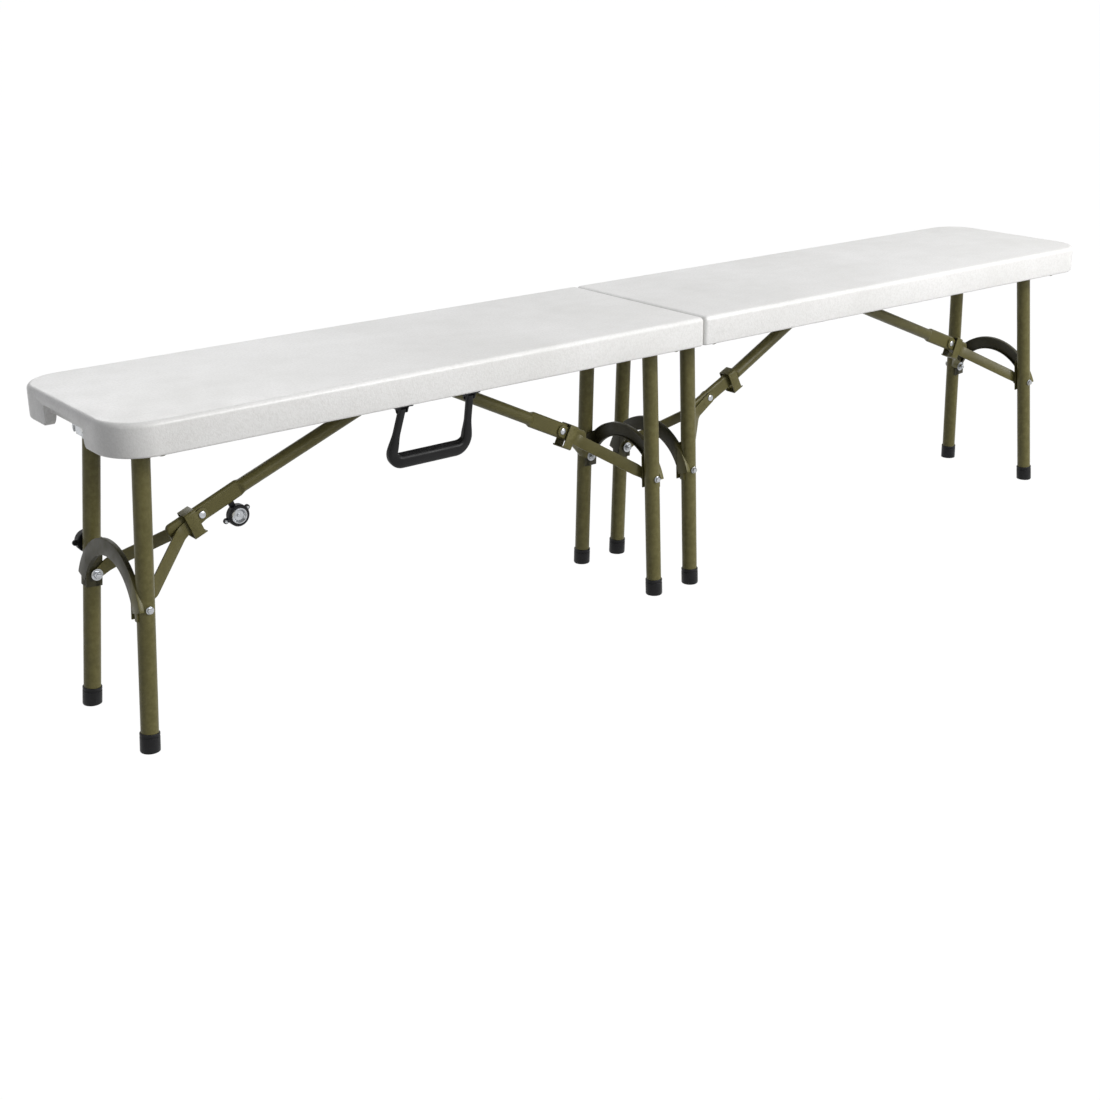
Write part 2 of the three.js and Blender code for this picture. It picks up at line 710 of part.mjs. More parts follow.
function kneeRivet() {
  const headFace = stripInner + stripThickness;
  const headTop = headFace + rivetHeadHeight;
  const shoulder = rivetHeadHeight * rivetShoulderShare;
  const profile = [
    new THREE.Vector2(0, -headTop),
    new THREE.Vector2(rivetHeadRadius * rivetCrownShare, -headTop),
    new THREE.Vector2(rivetHeadRadius, -headFace - shoulder),
    new THREE.Vector2(rivetHeadRadius, -headFace),
    new THREE.Vector2(rivetRadius, -headFace),
    new THREE.Vector2(rivetRadius, headFace),
    new THREE.Vector2(rivetHeadRadius, headFace),
    new THREE.Vector2(rivetHeadRadius, headFace + shoulder),
    new THREE.Vector2(rivetHeadRadius * rivetCrownShare, headTop),
    new THREE.Vector2(0, headTop),
  ];
  return solidOf(new THREE.LatheGeometry(profile, smallSides));
}

// A rounded rectangle in the YZ plane, as a shape for pushAlongX.
function collarOutline(halfWidth, top, bottom, radius, Kind) {
  const shape = new Kind();
  shape.absarc(halfWidth - radius, bottom + radius, radius, -Math.PI / 2, 0, false);
  shape.absarc(halfWidth - radius, top - radius, radius, 0, Math.PI / 2, false);
  shape.absarc(-halfWidth + radius, top - radius, radius, Math.PI / 2, Math.PI, false);
  shape.absarc(-halfWidth + radius, bottom + radius, radius, Math.PI, (3 * Math.PI) / 2, false);
  shape.closePath();
  return shape;
}

// The collar hangs on the top edge of the brace, with its slack below. +x points along the brace to the leg.
function lockRing() {
  const forkHalfWidth = stripInner + stripThickness + seatingGap + rivetHeadHeight;
  const halfWidth = Math.max(forkHalfWidth, braceTubeRadius) + ringSideGap;
  const top = flatHalfHeight + seatingGap;
  const bottom = -flatHalfHeight - ringSlack;
  const sheet = ringSheet;
  const outline = collarOutline(halfWidth + sheet, top + sheet, bottom - sheet, ringCornerRadius, THREE.Shape);
  outline.holes.push(collarOutline(halfWidth, top, bottom, ringCornerRadius - sheet / 2, THREE.Path));
  const collar = pushAlongX(outline, -ringLip, ringLength, edgeSteps - 1);
  const clear = halfWidth + sheet + cutOverrun;
  const lipTop = bottom + ringLipRise;
  return collar.subtract(block(-ringLip - cutOverrun, 0, -clear, clear, lipTop, top + sheet + cutOverrun));
}

// A two-eared black catch with a round face, drawn with its axis along y and its face at -y.
function earedCatch(neckTop) {
  const ears = [-1, 1].map((side) =>
    rod("y", 0, catchEarThickness, catchEarRadius, point((side * catchEarSpacing) / 2, 0, 0), smallSides),
  );
  const webReach = catchEarSpacing / 2;
  const webHalf = catchEarRadius * catchWebShare;
  const web = block(-webReach, webReach, 0, catchEarThickness, -webHalf, webHalf);
  const boss = rod("y", -catchThickness, catchEarThickness, catchRadius, origin);
  const face = rod("y", -catchThickness - cutOverrun, -catchThickness + catchFaceDepth, catchFaceRadius, origin);
  const neck = block(-catchNeckHalfWidth, catchNeckHalfWidth, 0, catchEarThickness, 0, neckTop);
  return joined([boss, web, ...ears, neck]).subtract(face);
}

const frames = [
  { name: "left_outer", side: -1, outward: -1, kind: "outer" },
  { name: "left_inner", side: -1, outward: 1, kind: "inner" },
  { name: "right_inner", side: 1, outward: -1, kind: "inner", ringUp: true },
  { name: "right_outer", side: 1, outward: 1, kind: "outer" },
];
const kinds = {
  outer: {
    pivotX: outerPivotX,
    lean: outerLean,
    pinX: outerBracePinX,
    forkLength: outerForkLength,
    pinY: -bracePinOffsetY,
  },
  inner: {
    pivotX: innerPivotX,
    lean: innerLean,
    pinX: innerBracePinX,
    forkLength: innerForkLength,
    pinY: bracePinOffsetY,
  },
};
const legNames = [
  ["front", -1],
  ["rear", 1],
];

function addFrame(frame) {
  const kind = kinds[frame.kind];
  const links = linkage(kind.lean, Math.abs(kind.pinX - kind.pivotX), kind.forkLength);
  const place = new THREE.Group();
  place.position.set(frame.side * kind.pivotX, 0, legPivotHeight);
  place.scale.x = frame.outward;
  bench.add(place);

  const legGroup = new THREE.Group();
  legGroup.rotation.y = -kind.lean;
  place.add(legGroup);
  addPiece(legGroup, `${frame.name}_leg_frame`, legWeldment(kind.lean), olivePaint);
  addPiece(legGroup, `${frame.name}_leg_arch`, legArch(), darkPaint);
  for (const [legName, legSide] of legNames) {
    addPiece(legGroup, `${frame.name}_${legName}_foot_cap`, footCap(kind.lean, legSide), blackPlastic);
    addPiece(legGroup, `${frame.name}_${legName}_leg_bolt`, legBolt(legSide), zincSteel);
  }

  const braceGroup = new THREE.Group();
  braceGroup.position.set(links.pin.x, kind.pinY, links.pin.y);
  braceGroup.rotation.y = -links.braceAngle;
  place.add(braceGroup);
  addPiece(braceGroup, `${frame.name}_brace`, braceTube(links.braceLength, -kind.pinY), olivePaint);
  const ring = addPiece(braceGroup, `${frame.name}_lock_ring`, lockRing(), olivePaint);
  const ringShift = frame.ringUp ? -drawnUpRing : ringBelowRivet;
  ring.position.set(links.braceLength + ringShift, -kind.pinY, 0);

  const forkGroup = new THREE.Group();
  forkGroup.position.set(links.knee.x, 0, links.knee.y);
  forkGroup.rotation.y = -links.forkAngle;
  place.add(forkGroup);
  const headPieces = [kneeRivet()];
  for (const [legName, legSide] of legNames) {
    const { kneeEnd, boltEnd } = forkStrip(kind.forkLength, legSide);
    headPieces.push(kneeEnd);
    addPiece(forkGroup, `${frame.name}_${legName}_fork_strip`, boltEnd, olivePaint);
  }
  addPiece(forkGroup, `${frame.name}_fork_head`, joined(headPieces), olivePaint);
  return { legGroup, braceGroup, links };
}

const frameGroups = Object.fromEntries(frames.map((frame) => [frame.name, addFrame(frame)]));

// One pressed bracket per half holds the upper pins of both braces, side by side.
function braceBracket() {
  const plateTop = ceiling - seatingGap;
  const plateBottom = plateTop - bracketPlateThickness;
  const halfY = bracePinOffsetY + eyeHalfThickness + seatingGap + bracketCheek;
  const lowX = Math.min(outerBracePinX, innerBracePinX) - bracketPlateMargin;
  const highX = Math.max(outerBracePinX, innerBracePinX) + bracketPlateMargin;
  const pieces = [block(lowX, highX, -halfY, halfY, plateBottom, plateTop)];
  for (const kind of Object.values(kinds)) {
    for (const side of [-1, 1]) {
      const inner = kind.pinY + side * (eyeHalfThickness + seatingGap);
      const outer = inner + side * bracketCheek;
      const cheek = new THREE.Shape();
      cheek.moveTo(kind.pinX + bracketCheekHalfWidth, plateTop);
      cheek.lineTo(kind.pinX - bracketCheekHalfWidth, plateTop);
      cheek.absarc(kind.pinX, bracePinHeight, bracketCheekHalfWidth * cheekTipShare, Math.PI, 2 * Math.PI, false);
      pieces.push(pushAlongY(cheek, Math.min(inner, outer), Math.max(inner, outer), edgeSteps));
    }
    const pinHalf = eyeHalfThickness + seatingGap + bracketCheek;
    const pinCentre = point(kind.pinX, kind.pinY, bracePinHeight);
    pieces.push(rod("y", -pinHalf, pinHalf, bracketPinRadius, pinCentre, smallSides));
  }
  return joined(pieces);
}

const bracketSolid = braceBracket();
addPiece(bench, "left_brace_bracket", bracketSolid, zincSteel).scale.x = -1;
addPiece(bench, "right_brace_bracket", bracketSolid, zincSteel);

// Carry handle: a bail whose section grows from its thin arms to a deep grip.
function handleBail() {
  const pivotHalf = handlePivotSpacing / 2;
  const gripHalf = pivotHalf + handleSpread;
  const gripZ = -handleReach + handleGripHeight / 2;
  const corner = handleCornerRadius;
  const stations = [];
  const armTopZ = handleArmDepth / 2;
  stations.push([point(-pivotHalf, 0, armTopZ), point(0, 0, -1), 0]);
  stations.push([point(-pivotHalf, 0, -handleArmWidth), point(0, 0, -1), 0]);
  stations.push([point(-gripHalf, 0, gripZ + corner * 2), point(0, 0, -1), 0]);
  for (let step = 0; step <= edgeSteps; step += 1) {
    const angle = (step / edgeSteps) * (Math.PI / 2);
    const centre = point(-gripHalf + corner, 0, gripZ + corner);
    const place = point(centre.x - corner * Math.cos(angle), 0, centre.z - corner * Math.sin(angle));
    stations.push([place, point(Math.sin(angle), 0, -Math.cos(angle)), (step + 1) / (edgeSteps + 1)]);
  }
  const mirrored = stations
    .slice()
    .reverse()
    .map(([place, heading, share]) => [point(-place.x, 0, place.z), point(heading.x, 0, -heading.z), share]);
  const rings = [...stations, ...mirrored].map(([place, heading, share]) => {
    const width = THREE.MathUtils.lerp(handleArmWidth, handleGripHeight, share) / 2;
    const depth = THREE.MathUtils.lerp(handleArmDepth, handleGripDepth, share) / 2;
    const bevel = depth * handleBevelShare;
    const across = point(-heading.z, 0, heading.x);
    const sectionShares = [
      [-1, -1],
      [-1, 1],
      [1, 1],
      [1, -1],
    ];
    return sectionShares.flatMap(([u, v]) => {
      const first = u === v ? [width - bevel, depth] : [width, depth - bevel];
      const second = u === v ? [width, depth - bevel] : [width - bevel, depth];
      return [first, second].map(([w, d]) => place.clone().addScaledVector(across, u * w).add(point(0, v * d, 0)));
    });
  });
  const bores = [-1, 1].map((side) =>
    rod(
      "x",
      side * pivotHalf - handleArmWidth,
      side * pivotHalf + handleArmWidth,
      handlePinRadius + holeClearance,
      origin,
      smallSides,
    ),
  );
  return cut(loft(rings), bores);
}

// A moulded clip under the skirt: a base plate with two cheeks and the pin that carries one arm.
function handleClip() {
  const top = handlePivotDrop - seatingGap;
  const halfDepth = handleClipDepth / 2;
  const halfLength = handleClipLength / 2;
  const cheekInner = handleArmWidth / 2 + handleClipSideGap;
  const cheekOuter = cheekInner + handleClipCheek;
  const base = block(-halfLength, halfLength, -halfDepth, halfDepth, top - handleClipPlate, top);
  const outline = new THREE.Shape();
  outline.moveTo(halfDepth, top - handleClipPlate / 2);
  outline.lineTo(-halfDepth, top - handleClipPlate / 2);
  outline.absarc(0, 0, handleArmDepth / 2, Math.PI, 2 * Math.PI, false);
  const cheeks = [-1, 1].map((side) => {
    const inner = side * cheekInner;
    const outer = side * cheekOuter;
    return pushAlongX(outline, Math.min(inner, outer), Math.max(inner, outer), edgeSteps);
  });
  const pin = rod("x", -cheekOuter, cheekOuter, handlePinRadius, origin, smallSides);
  return joined([base, ...cheeks, pin]);
}

const handleGroup = new THREE.Group();
handleGroup.position.set(handleX, -benchWidth / 2 + handlePivotInset, skirtBottom - handlePivotDrop);
bench.add(handleGroup);
const bailGroup = new THREE.Group();
bailGroup.rotation.x = handleTilt;
handleGroup.add(bailGroup);
addPiece(bailGroup, "carry_handle", handleBail(), blackPlastic);
const clipSolid = handleClip();
addPiece(handleGroup, "handle_clip_outer", clipSolid, blackPlastic).position.x = -handlePivotSpacing / 2;
addPiece(handleGroup, "handle_clip_inner", clipSolid, blackPlastic).position.x = handlePivotSpacing / 2;

// Latch in the left end notch and its striker in the right one, drawn for the end at +x.
const hookX = benchLength / 2 - latchInset;
const latchPivotHeight = skirtBottom + latchPivotRise;
const hookReach = 2 * (latchPivotHeight - hingeAxisHeight);

function latchMount(pinRadius) {
  const plateOuterX = hookX - hookThickness / 2 - seatingGap;
  const plateInnerX = plateOuterX - latchPlateThickness;
  const top = ceiling - seatingGap;
  const y0 = latchY - latchPlateHalfWidth;
  const y1 = latchY + latchPlateHalfWidth;
  const centre = point(0, latchY, latchPivotHeight);
  const headStart = hookX + hookThickness / 2 + seatingGap;
  return joined([
    block(plateOuterX - latchFlange, plateOuterX, y0, y1, top - latchPlateThickness, top),
    block(plateInnerX, plateOuterX, y0, y1, latchPivotHeight - hookHalfWidth, top),
    rod("x", plateInnerX, headStart + latchHeadLength, pinRadius, centre, smallSides),
    rod("x", headStart, headStart + latchHeadLength, latchHeadRadius, centre, smallSides),
  ]);
}

// The hook lies along +y when stowed, with its mouth down, and swings down onto the striker's stud.
function latchHook() {
  const outline = new THREE.Shape();
  outline.absarc(0, 0, hookHalfWidth, Math.PI / 2, (3 * Math.PI) / 2, false);
  outline.absarc(hookReach, 0, hookHalfWidth, -Math.PI / 2, Math.PI / 2, false);
  const plate = pushAlongX(outline, -hookThickness / 2, hookThickness / 2, edgeSteps * 2);
  const reach = hookThickness / 2 + cutOverrun;
  const mouth = latchPinRadius + hookMouthClearance;
  const pivotHole = rod("x", -reach, reach, latchPinRadius + holeClearance, origin, smallSides);
  const mouthRound = rod("x", -reach, reach, mouth, point(0, hookReach, 0));
  const mouthOpen = block(-reach, reach, hookReach - mouth, hookReach + mouth, -hookHalfWidth - cutOverrun, 0);
  return cut(plate, [pivotHole, mouthRound, mouthOpen]);
}

const latchMountSolid = latchMount(latchPinRadius);
addPiece(bench, "latch_plate", latchMountSolid, zincSteel).scale.x = -1;
addPiece(bench, "latch_striker", latchMountSolid, zincSteel);
addPiece(bench, "latch_hook", latchHook(), zincSteel).position.set(-hookX, latchY, latchPivotHeight);

// The two catches of the left outer frame.
const { legGroup: catchLegGroup, braceGroup: catchBraceGroup, links: catchLinks } = frameGroups.left_outer;
const braceCatchSolid = earedCatch(catchBelowBrace - flatHalfHeight - seatingGap);
const braceCatch = addPiece(catchBraceGroup, "brace_catch", braceCatchSolid, blackPlastic);
braceCatch.position.set(catchLinks.braceLength - catchAboveRivet, bracePinOffsetY, -catchBelowBrace);

const legCatchSolid = ontoLeg(
  earedCatch(0)
    .mirror([0, 1, 0])
    .translate([0, legTubeRadius + seatingGap + catchEarThickness, -legCatchDrop]),
  1,
);
addPiece(catchLegGroup, "leg_catch", legCatchSolid, blackPlastic);

export default bench;
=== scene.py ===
import json
import math

import bmesh
import bpy
from mathutils import Matrix, Vector


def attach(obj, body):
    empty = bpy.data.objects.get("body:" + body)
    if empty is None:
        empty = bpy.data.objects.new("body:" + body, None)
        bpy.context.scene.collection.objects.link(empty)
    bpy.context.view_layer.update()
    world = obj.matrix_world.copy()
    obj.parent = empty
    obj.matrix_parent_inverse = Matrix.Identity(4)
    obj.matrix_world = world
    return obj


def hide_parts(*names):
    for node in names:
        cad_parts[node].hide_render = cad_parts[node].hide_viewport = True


# Folding bench. Lengths are in millimetres up to the last step, where each mesh goes to metres.
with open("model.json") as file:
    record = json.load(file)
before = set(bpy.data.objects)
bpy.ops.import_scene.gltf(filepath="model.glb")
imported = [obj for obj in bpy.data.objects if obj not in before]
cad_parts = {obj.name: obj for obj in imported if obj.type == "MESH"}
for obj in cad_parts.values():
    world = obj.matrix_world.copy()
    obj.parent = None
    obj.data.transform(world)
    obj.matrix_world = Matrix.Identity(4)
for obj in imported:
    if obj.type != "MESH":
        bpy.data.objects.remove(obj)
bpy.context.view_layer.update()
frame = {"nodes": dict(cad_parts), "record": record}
mm = 0.001
print("frame loaded")


# --- helpers for colours and node trees
def linear(hexColour):
    parts = [int(hexColour[i:i + 2], 16) / 255 for i in (0, 2, 4)]
    return [c / 12.92 if c <= 0.04045 else ((c + 0.055) / 1.055) ** 2.4 for c in parts] + [1.0]


class Look:
    # One material and its node tree, built from the texture coordinate to the shader.
    def __init__(self, name):
        self.material = bpy.data.materials.new(name)
        self.material.use_nodes = True
        self.tree = self.material.node_tree
        self.shader = self.tree.nodes["Principled BSDF"]
        self.place = self.node("ShaderNodeTexCoord").outputs["Object"]

    def node(self, kind, **settings):
        made = self.tree.nodes.new(kind)
        for key, value in settings.items():
            setattr(made, key, value)
        return made

    def feed(self, socket, value):
        if hasattr(value, "is_output"):
            self.tree.links.new(value, socket)
        else:
            socket.default_value = value

    def noise(self, scale, detail=2.0, rough=0.5, place=None):
        made = self.node("ShaderNodeTexNoise")
        self.feed(made.inputs["Vector"], place or self.place)
        self.feed(made.inputs["Scale"], scale)
        self.feed(made.inputs["Detail"], detail)
        self.feed(made.inputs["Roughness"], rough)
        return made.outputs["Fac"]

    def cells(self, scale, feature="SMOOTH_F1"):
        made = self.node("ShaderNodeTexVoronoi", feature=feature)
        self.feed(made.inputs["Vector"], self.place)
        self.feed(made.inputs["Scale"], scale)
        return made.outputs["Distance"]

    def stretched(self, x, y, z):
        made = self.node("ShaderNodeMapping")
        self.feed(made.inputs["Vector"], self.place)
        made.inputs["Scale"].default_value = (x, y, z)
        return made.outputs["Vector"]

    def spread(self, value, low, high, outLow=0.0, outHigh=1.0):
        made = self.node("ShaderNodeMapRange", clamp=True)
        self.feed(made.inputs["Value"], value)
        for key, number in (("From Min", low), ("From Max", high), ("To Min", outLow), ("To Max", outHigh)):
            made.inputs[key].default_value = number
        return made.outputs["Result"]

    def mixed(self, share, first, second):
        made = self.node("ShaderNodeMix", data_type="RGBA")
        self.feed(made.inputs[0], share)
        self.feed(made.inputs[6], first)
        self.feed(made.inputs[7], second)
        return made.outputs[2]

    def times(self, first, second, operation="MULTIPLY"):
        made = self.node("ShaderNodeMath", operation=operation)
        self.feed(made.inputs[0], first)
        self.feed(made.inputs[1], second)
        return made.outputs[0]

    def edges(self, low, high):
        return self.spread(self.node("ShaderNodeNewGeometry").outputs["Pointiness"], low, high)

    def bump(self, height, strength, distance, below=None):
        made = self.node("ShaderNodeBump")
        self.feed(made.inputs["Height"], height)
        self.feed(made.inputs["Strength"], strength)
        self.feed(made.inputs["Distance"], distance)
        if below is not None:
            self.feed(made.inputs["Normal"], below)
        return made.outputs["Normal"]

    def finish(self, colour, roughness, normal, metallic=0.0, specular=0.5, coat=0.0):
        self.feed(self.shader.inputs["Base Color"], colour)
        self.feed(self.shader.inputs["Roughness"], roughness)
        self.feed(self.shader.inputs["Normal"], normal)
        self.shader.inputs["Metallic"].default_value = metallic
        self.shader.inputs["Specular IOR Level"].default_value = specular
        self.shader.inputs["Coat Weight"].default_value = coat
        return self.material


# --- finishes
plasticLook = {
    "pale": "e6e5e3",
    "shade": "dad9d6",
    "scuff": "c9c7c3",
    "grainScale": 480.0,
    "grainDepth": 0.0003,
    "roughness": (0.3, 0.42),
}


def mouldedPlastic():
    look = Look("offWhitePolyethylene")
    tone = look.spread(look.noise(5.0, 3.0), 0.35, 0.7)
    base = look.mixed(tone, linear(plasticLook["pale"]), linear(plasticLook["shade"]))
    streak = look.noise(9.0, 6.0, 0.7, look.stretched(1.0, 7.0, 4.0))
    scuffs = look.times(look.spread(streak, 0.62, 0.74), 0.35)
    colour = look.mixed(scuffs, base, linear(plasticLook["scuff"]))
    speck = look.times(look.spread(look.noise(plasticLook["grainScale"] * 0.6, 3.0, 0.7), 0.42, 0.68), 0.4)
    colour = look.mixed(speck, colour, linear(plasticLook["scuff"]))
    pebbles = look.cells(plasticLook["grainScale"])
    fine = look.noise(plasticLook["grainScale"] * 1.7, 2.0)
    grain = look.bump(pebbles, 0.5, plasticLook["grainDepth"])
    grain = look.bump(fine, 0.35, plasticLook["grainDepth"], grain)
    wave = look.bump(look.noise(14.0, 1.0), 0.25, 0.0006, grain)  # slow waves of a blown wall
    low, high = plasticLook["roughness"]
    return look.finish(colour, look.spread(look.noise(40.0, 4.0), 0.3, 0.7, low, high), wave, 0.0, 0.45)


paintLook = {
    "olive": "5e5932",
    "oliveDeep": "544f2b",
    "oliveWorn": "767048",
    # arch and its deep and worn tones: a dark olive painted on the pressed arch as painted shade, where the arch
    # itself has the legs' olive paint
    "arch": "322f1a",
    "archShadeDeep": "292715",
    "archShadeWorn": "4b472c",
    # where the painted shade on the arch gives way to olive, towards the front leg (metres along -y)
    "archShadeToOlive": (0.060, 0.072),
    "peelScale": 420.0,
    "peelDepth": 0.00018,
    "roughness": (0.34, 0.5),
}


def paintedSteel(name, face, deep, worn):
    look = Look(name)
    tone = look.spread(look.noise(18.0, 4.0, 0.6), 0.25, 0.75)
    base = look.mixed(tone, linear(paintLook[face]), linear(paintLook[deep]))
    rubbed = look.times(look.edges(0.52, 0.6), look.spread(look.noise(120.0, 4.0, 0.7), 0.4, 0.65))
    colour = look.mixed(look.times(rubbed, 0.7), base, linear(paintLook[worn]))
    peel = look.bump(look.noise(paintLook["peelScale"], 1.5), 0.35, paintLook["peelDepth"])
    specks = look.bump(look.noise(paintLook["peelScale"] * 4, 2.0), 0.2, paintLook["peelDepth"] / 3, peel)
    low, high = paintLook["roughness"]
    if face == "arch":  # the pressed arch carries painted shade, a dark colour that fades to the olive of the front leg near it
        apart = look.node("ShaderNodeSeparateXYZ")
        look.feed(apart.inputs[0], look.place)
        unshadedNearFrontLeg = look.spread(look.times(apart.outputs["Y"], -1.0), *paintLook["archShadeToOlive"])
        colour = look.mixed(unshadedNearFrontLeg, colour, linear(paintLook["olive"]))
    return look.finish(colour, look.spread(look.noise(60.0, 3.0), 0.3, 0.7, low, high), specks, 0.0, 0.25)


blackLook = {"face": "111112", "dust": "1d1d1e", "worn": "2b2b2d", "grainScale": 1300.0, "grainDepth": 0.00008}


def blackPlastic():
    look = Look("blackPlastic")
    dust = look.spread(look.noise(35.0, 5.0, 0.65), 0.5, 0.75)
    base = look.mixed(look.times(dust, 0.35), linear(blackLook["face"]), linear(blackLook["dust"]))
    rubbed = look.times(look.edges(0.53, 0.62), look.spread(look.noise(150.0, 3.0), 0.4, 0.6))
    colour = look.mixed(look.times(rubbed, 0.6), base, linear(blackLook["worn"]))
    grain = look.bump(look.cells(blackLook["grainScale"]), 0.4, blackLook["grainDepth"])
    roughness = look.spread(look.noise(50.0, 3.0), 0.3, 0.7, 0.38, 0.55)
    return look.finish(colour, roughness, grain, 0.0, 0.2)


zincLook = {"bright": "c9ccd1", "dull": "9a9c9c", "warm": "b3a983"}


def zincSteel():
    look = Look("zincSteel")
    cloud = look.spread(look.noise(90.0, 5.0, 0.7), 0.3, 0.7)
    base = look.mixed(cloud, linear(zincLook["bright"]), linear(zincLook["dull"]))
    tint = look.times(look.spread(look.noise(45.0, 2.0), 0.55, 0.75), 0.4)
    colour = look.mixed(tint, base, linear(zincLook["warm"]))
    brushed = look.noise(500.0, 2.0, 0.5, look.stretched(1.0, 0.15, 1.0))
    normal = look.bump(brushed, 0.2, 0.00005)
    return look.finish(colour, look.spread(cloud, 0.0, 1.0, 0.2, 0.38), normal, 1.0, 0.5)


looks = {
    "seat_plastic": mouldedPlastic(),
    "olive_paint": paintedSteel("olivePaint", "olive", "oliveDeep", "oliveWorn"),
    # dark_paint: the arch's darker colour is painted shade
    "dark_paint": paintedSteel("archPaintedShade", "arch", "archShadeDeep", "archShadeWorn"),
    "black_plastic": blackPlastic(),
    "zinc_steel": zincSteel(),
}
for part in frame["record"]["subparts"]:
    node = frame["nodes"][part["node"]]
    node.data.materials.clear()
    node.data.materials.append(looks[part["material_slot"]])
print("finishes made:", len(looks))


# --- mesh helpers
def ringsToMesh(rings, closed=False):
    # Points of equal count per ring, skinned in order and capped unless the rings close on themselves.
    count = len(rings[0])
    points = [tuple(p) for ring in rings for p in ring]
    faces = []
    for r in range(len(rings) if closed else len(rings) - 1):
        near, far = r * count, ((r + 1) % len(rings)) * count
        for i in range(count):
            j = (i + 1) % count
            faces.append((near + i, near + j, far + j, far + i))
    if not closed:
        faces.append(tuple(reversed(range(count))))
        faces.append(tuple(range((len(rings) - 1) * count, len(rings) * count)))
    return points, faces


def rod(start, end, radius, sides=32, endRadius=None, chamfer=0.0):
    start, end = Vector(start), Vector(end)
    along = (end - start).normalized()
    side = along.orthogonal().normalized()
    up = along.cross(side)
    endRadius = radius if endRadius is None else endRadius
    stops = [(0.0, radius - chamfer), (chamfer, radius), ((end - start).length - chamfer, endRadius),
             ((end - start).length, endRadius - chamfer)]
    stops = stops if chamfer > 0 else [stops[0], stops[3]]
    rings = []
    for distance, r in stops:
        centre = start + along * distance
        turn = [2 * math.pi * i / sides for i in range(sides)]
        rings.append([centre + side * (r * math.cos(a)) + up * (r * math.sin(a)) for a in turn])
    return ringsToMesh(rings)


def lathe(profile, centre=(0, 0, 0), axis="y", sides=32):
    # profile: (radius, distance along the axis), from one end on the axis to the other.
    centre = Vector(centre)
    rings = []
    for radius, along in profile:
        ring = []
        for i in range(sides):
            a = 2 * math.pi * i / sides
            u, v = max(radius, 0.01) * math.cos(a), max(radius, 0.01) * math.sin(a)
            spot = {"x": (along, u, v), "y": (u, along, v), "z": (u, v, along)}[axis]
            ring.append(centre + Vector(spot))
        rings.append(ring)
    return ringsToMesh(rings)


def box(x0, x1, y0, y1, z0, z1):
    return ringsToMesh([[(x, y0, z0), (x, y1, z0), (x, y1, z1), (x, y0, z1)] for x in (x0, x1)])


def pushed(outline, axis, start, end):
    # A flat outline pushed along an axis: (y, z) pairs along x, (x, z) pairs along y, (x, y) pairs along z.
    def at(pair, distance):
        a, b = pair
        return {"x": (distance, a, b), "y": (a, distance, b), "z": (a, b, distance)}[axis]
    return ringsToMesh([[at(pair, start) for pair in outline], [at(pair, end) for pair in outline]])


def merged(parts):
    points, faces = [], []
    for p, f in parts:
        shift = len(points)
        points += [tuple(v) for v in p]
        faces += [tuple(i + shift for i in face) for face in f]
    return points, faces


def bare(name, part):
    # A plain object in millimetres, with its faces turned out.
    points, faces = part
    mesh = bpy.data.meshes.new(name)
    mesh.from_pydata([tuple(p) for p in points], [], faces)
    work = bmesh.new()
    work.from_mesh(mesh)
    bmesh.ops.recalc_face_normals(work, faces=work.faces)
    work.to_mesh(mesh)
    work.free()
    thing = bpy.data.objects.new(name, mesh)
    bpy.context.scene.collection.objects.link(thing)
    return thing


def applied(thing):
    graph = bpy.context.evaluated_depsgraph_get()
    mesh = bpy.data.meshes.new_from_object(thing.evaluated_get(graph))
    thing.modifiers.clear()
    thing.data = mesh
    return thing


def shaped(thing, tools):
    # tools: (operation, part) pairs, applied in order.
    for operation, part in tools:
        tool = bare("tool", part)
        change = thing.modifiers.new("shape", "BOOLEAN")
        change.operation = operation
        change.object = tool
        change.solver = "EXACT"
        change.use_self = len(part[1]) > 400
        applied(thing)
        bpy.data.objects.remove(tool)
    return thing


def rounded(thing, width, segments=2, angle=40):
    change = thing.modifiers.new("edge", "BEVEL")
    change.width = width
    change.segments = segments
    change.limit_method = "ANGLE"
    change.angle_limit = math.radians(angle)
    change.use_clamp_overlap = True
    return applied(thing)


def placed(source, name, matrix, body, slotName, nodes=(), sharp=35):
    # A copy of a shape in millimetres, set in the bench in metres and hung on its body.
    mesh = source.data.copy()
    mesh.transform(Matrix.Scale(mm, 4) @ matrix)
    if matrix.determinant() < 0:
        mesh.flip_normals()
    mesh.name = name
    mesh.materials.clear()
    mesh.materials.append(looks[slotName])
    mesh.shade_smooth()
    mesh.set_sharp_from_angle(angle=math.radians(sharp))
    thing = bpy.data.objects.new(name, mesh)
    bpy.context.scene.collection.objects.link(thing)
    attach(thing, body)
    if nodes:
        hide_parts(*nodes)
    return thing


def discard(*things):
    for thing in things:
        bpy.data.objects.remove(thing)


def smoothStep(share):
    return share * share * (3 - 2 * share)


# --- seat halves
seat = {
    "length": 1830.0,
    "width": 303.0,
    "height": 441.0,
    "depth": 43.0,
    "seamGap": 1.5,
    "cornerRadius": 56.0,
    "seamCornerRadius": 6.0,
    "topEdgeRadius": 7.0,
    "bottomEdgeRadius": 3.0,
    "wall": 14.0,
    "draft": 3.0,
    "panel": 13.0,
    "dimpleRadius": (9.0, 5.0),
    "dimpleDepth": 7.0,
    "dimplePitch": 150.0,
    "dimpleRows": (-96.0, -44.0, 44.0, 96.0),
    "notchFront": 64.0,
    "notchRear": 55.0,
    "notchFlare": 11.0,
    "notchHeight": 17.5,
    "notchFaceHeight": 28.5,
    "notchFaceDepth": 9.0,
    "cornerSteps": 28,
}
skirtBottom = seat["height"] - seat["depth"]
ceiling = seat["height"] - seat["panel"]


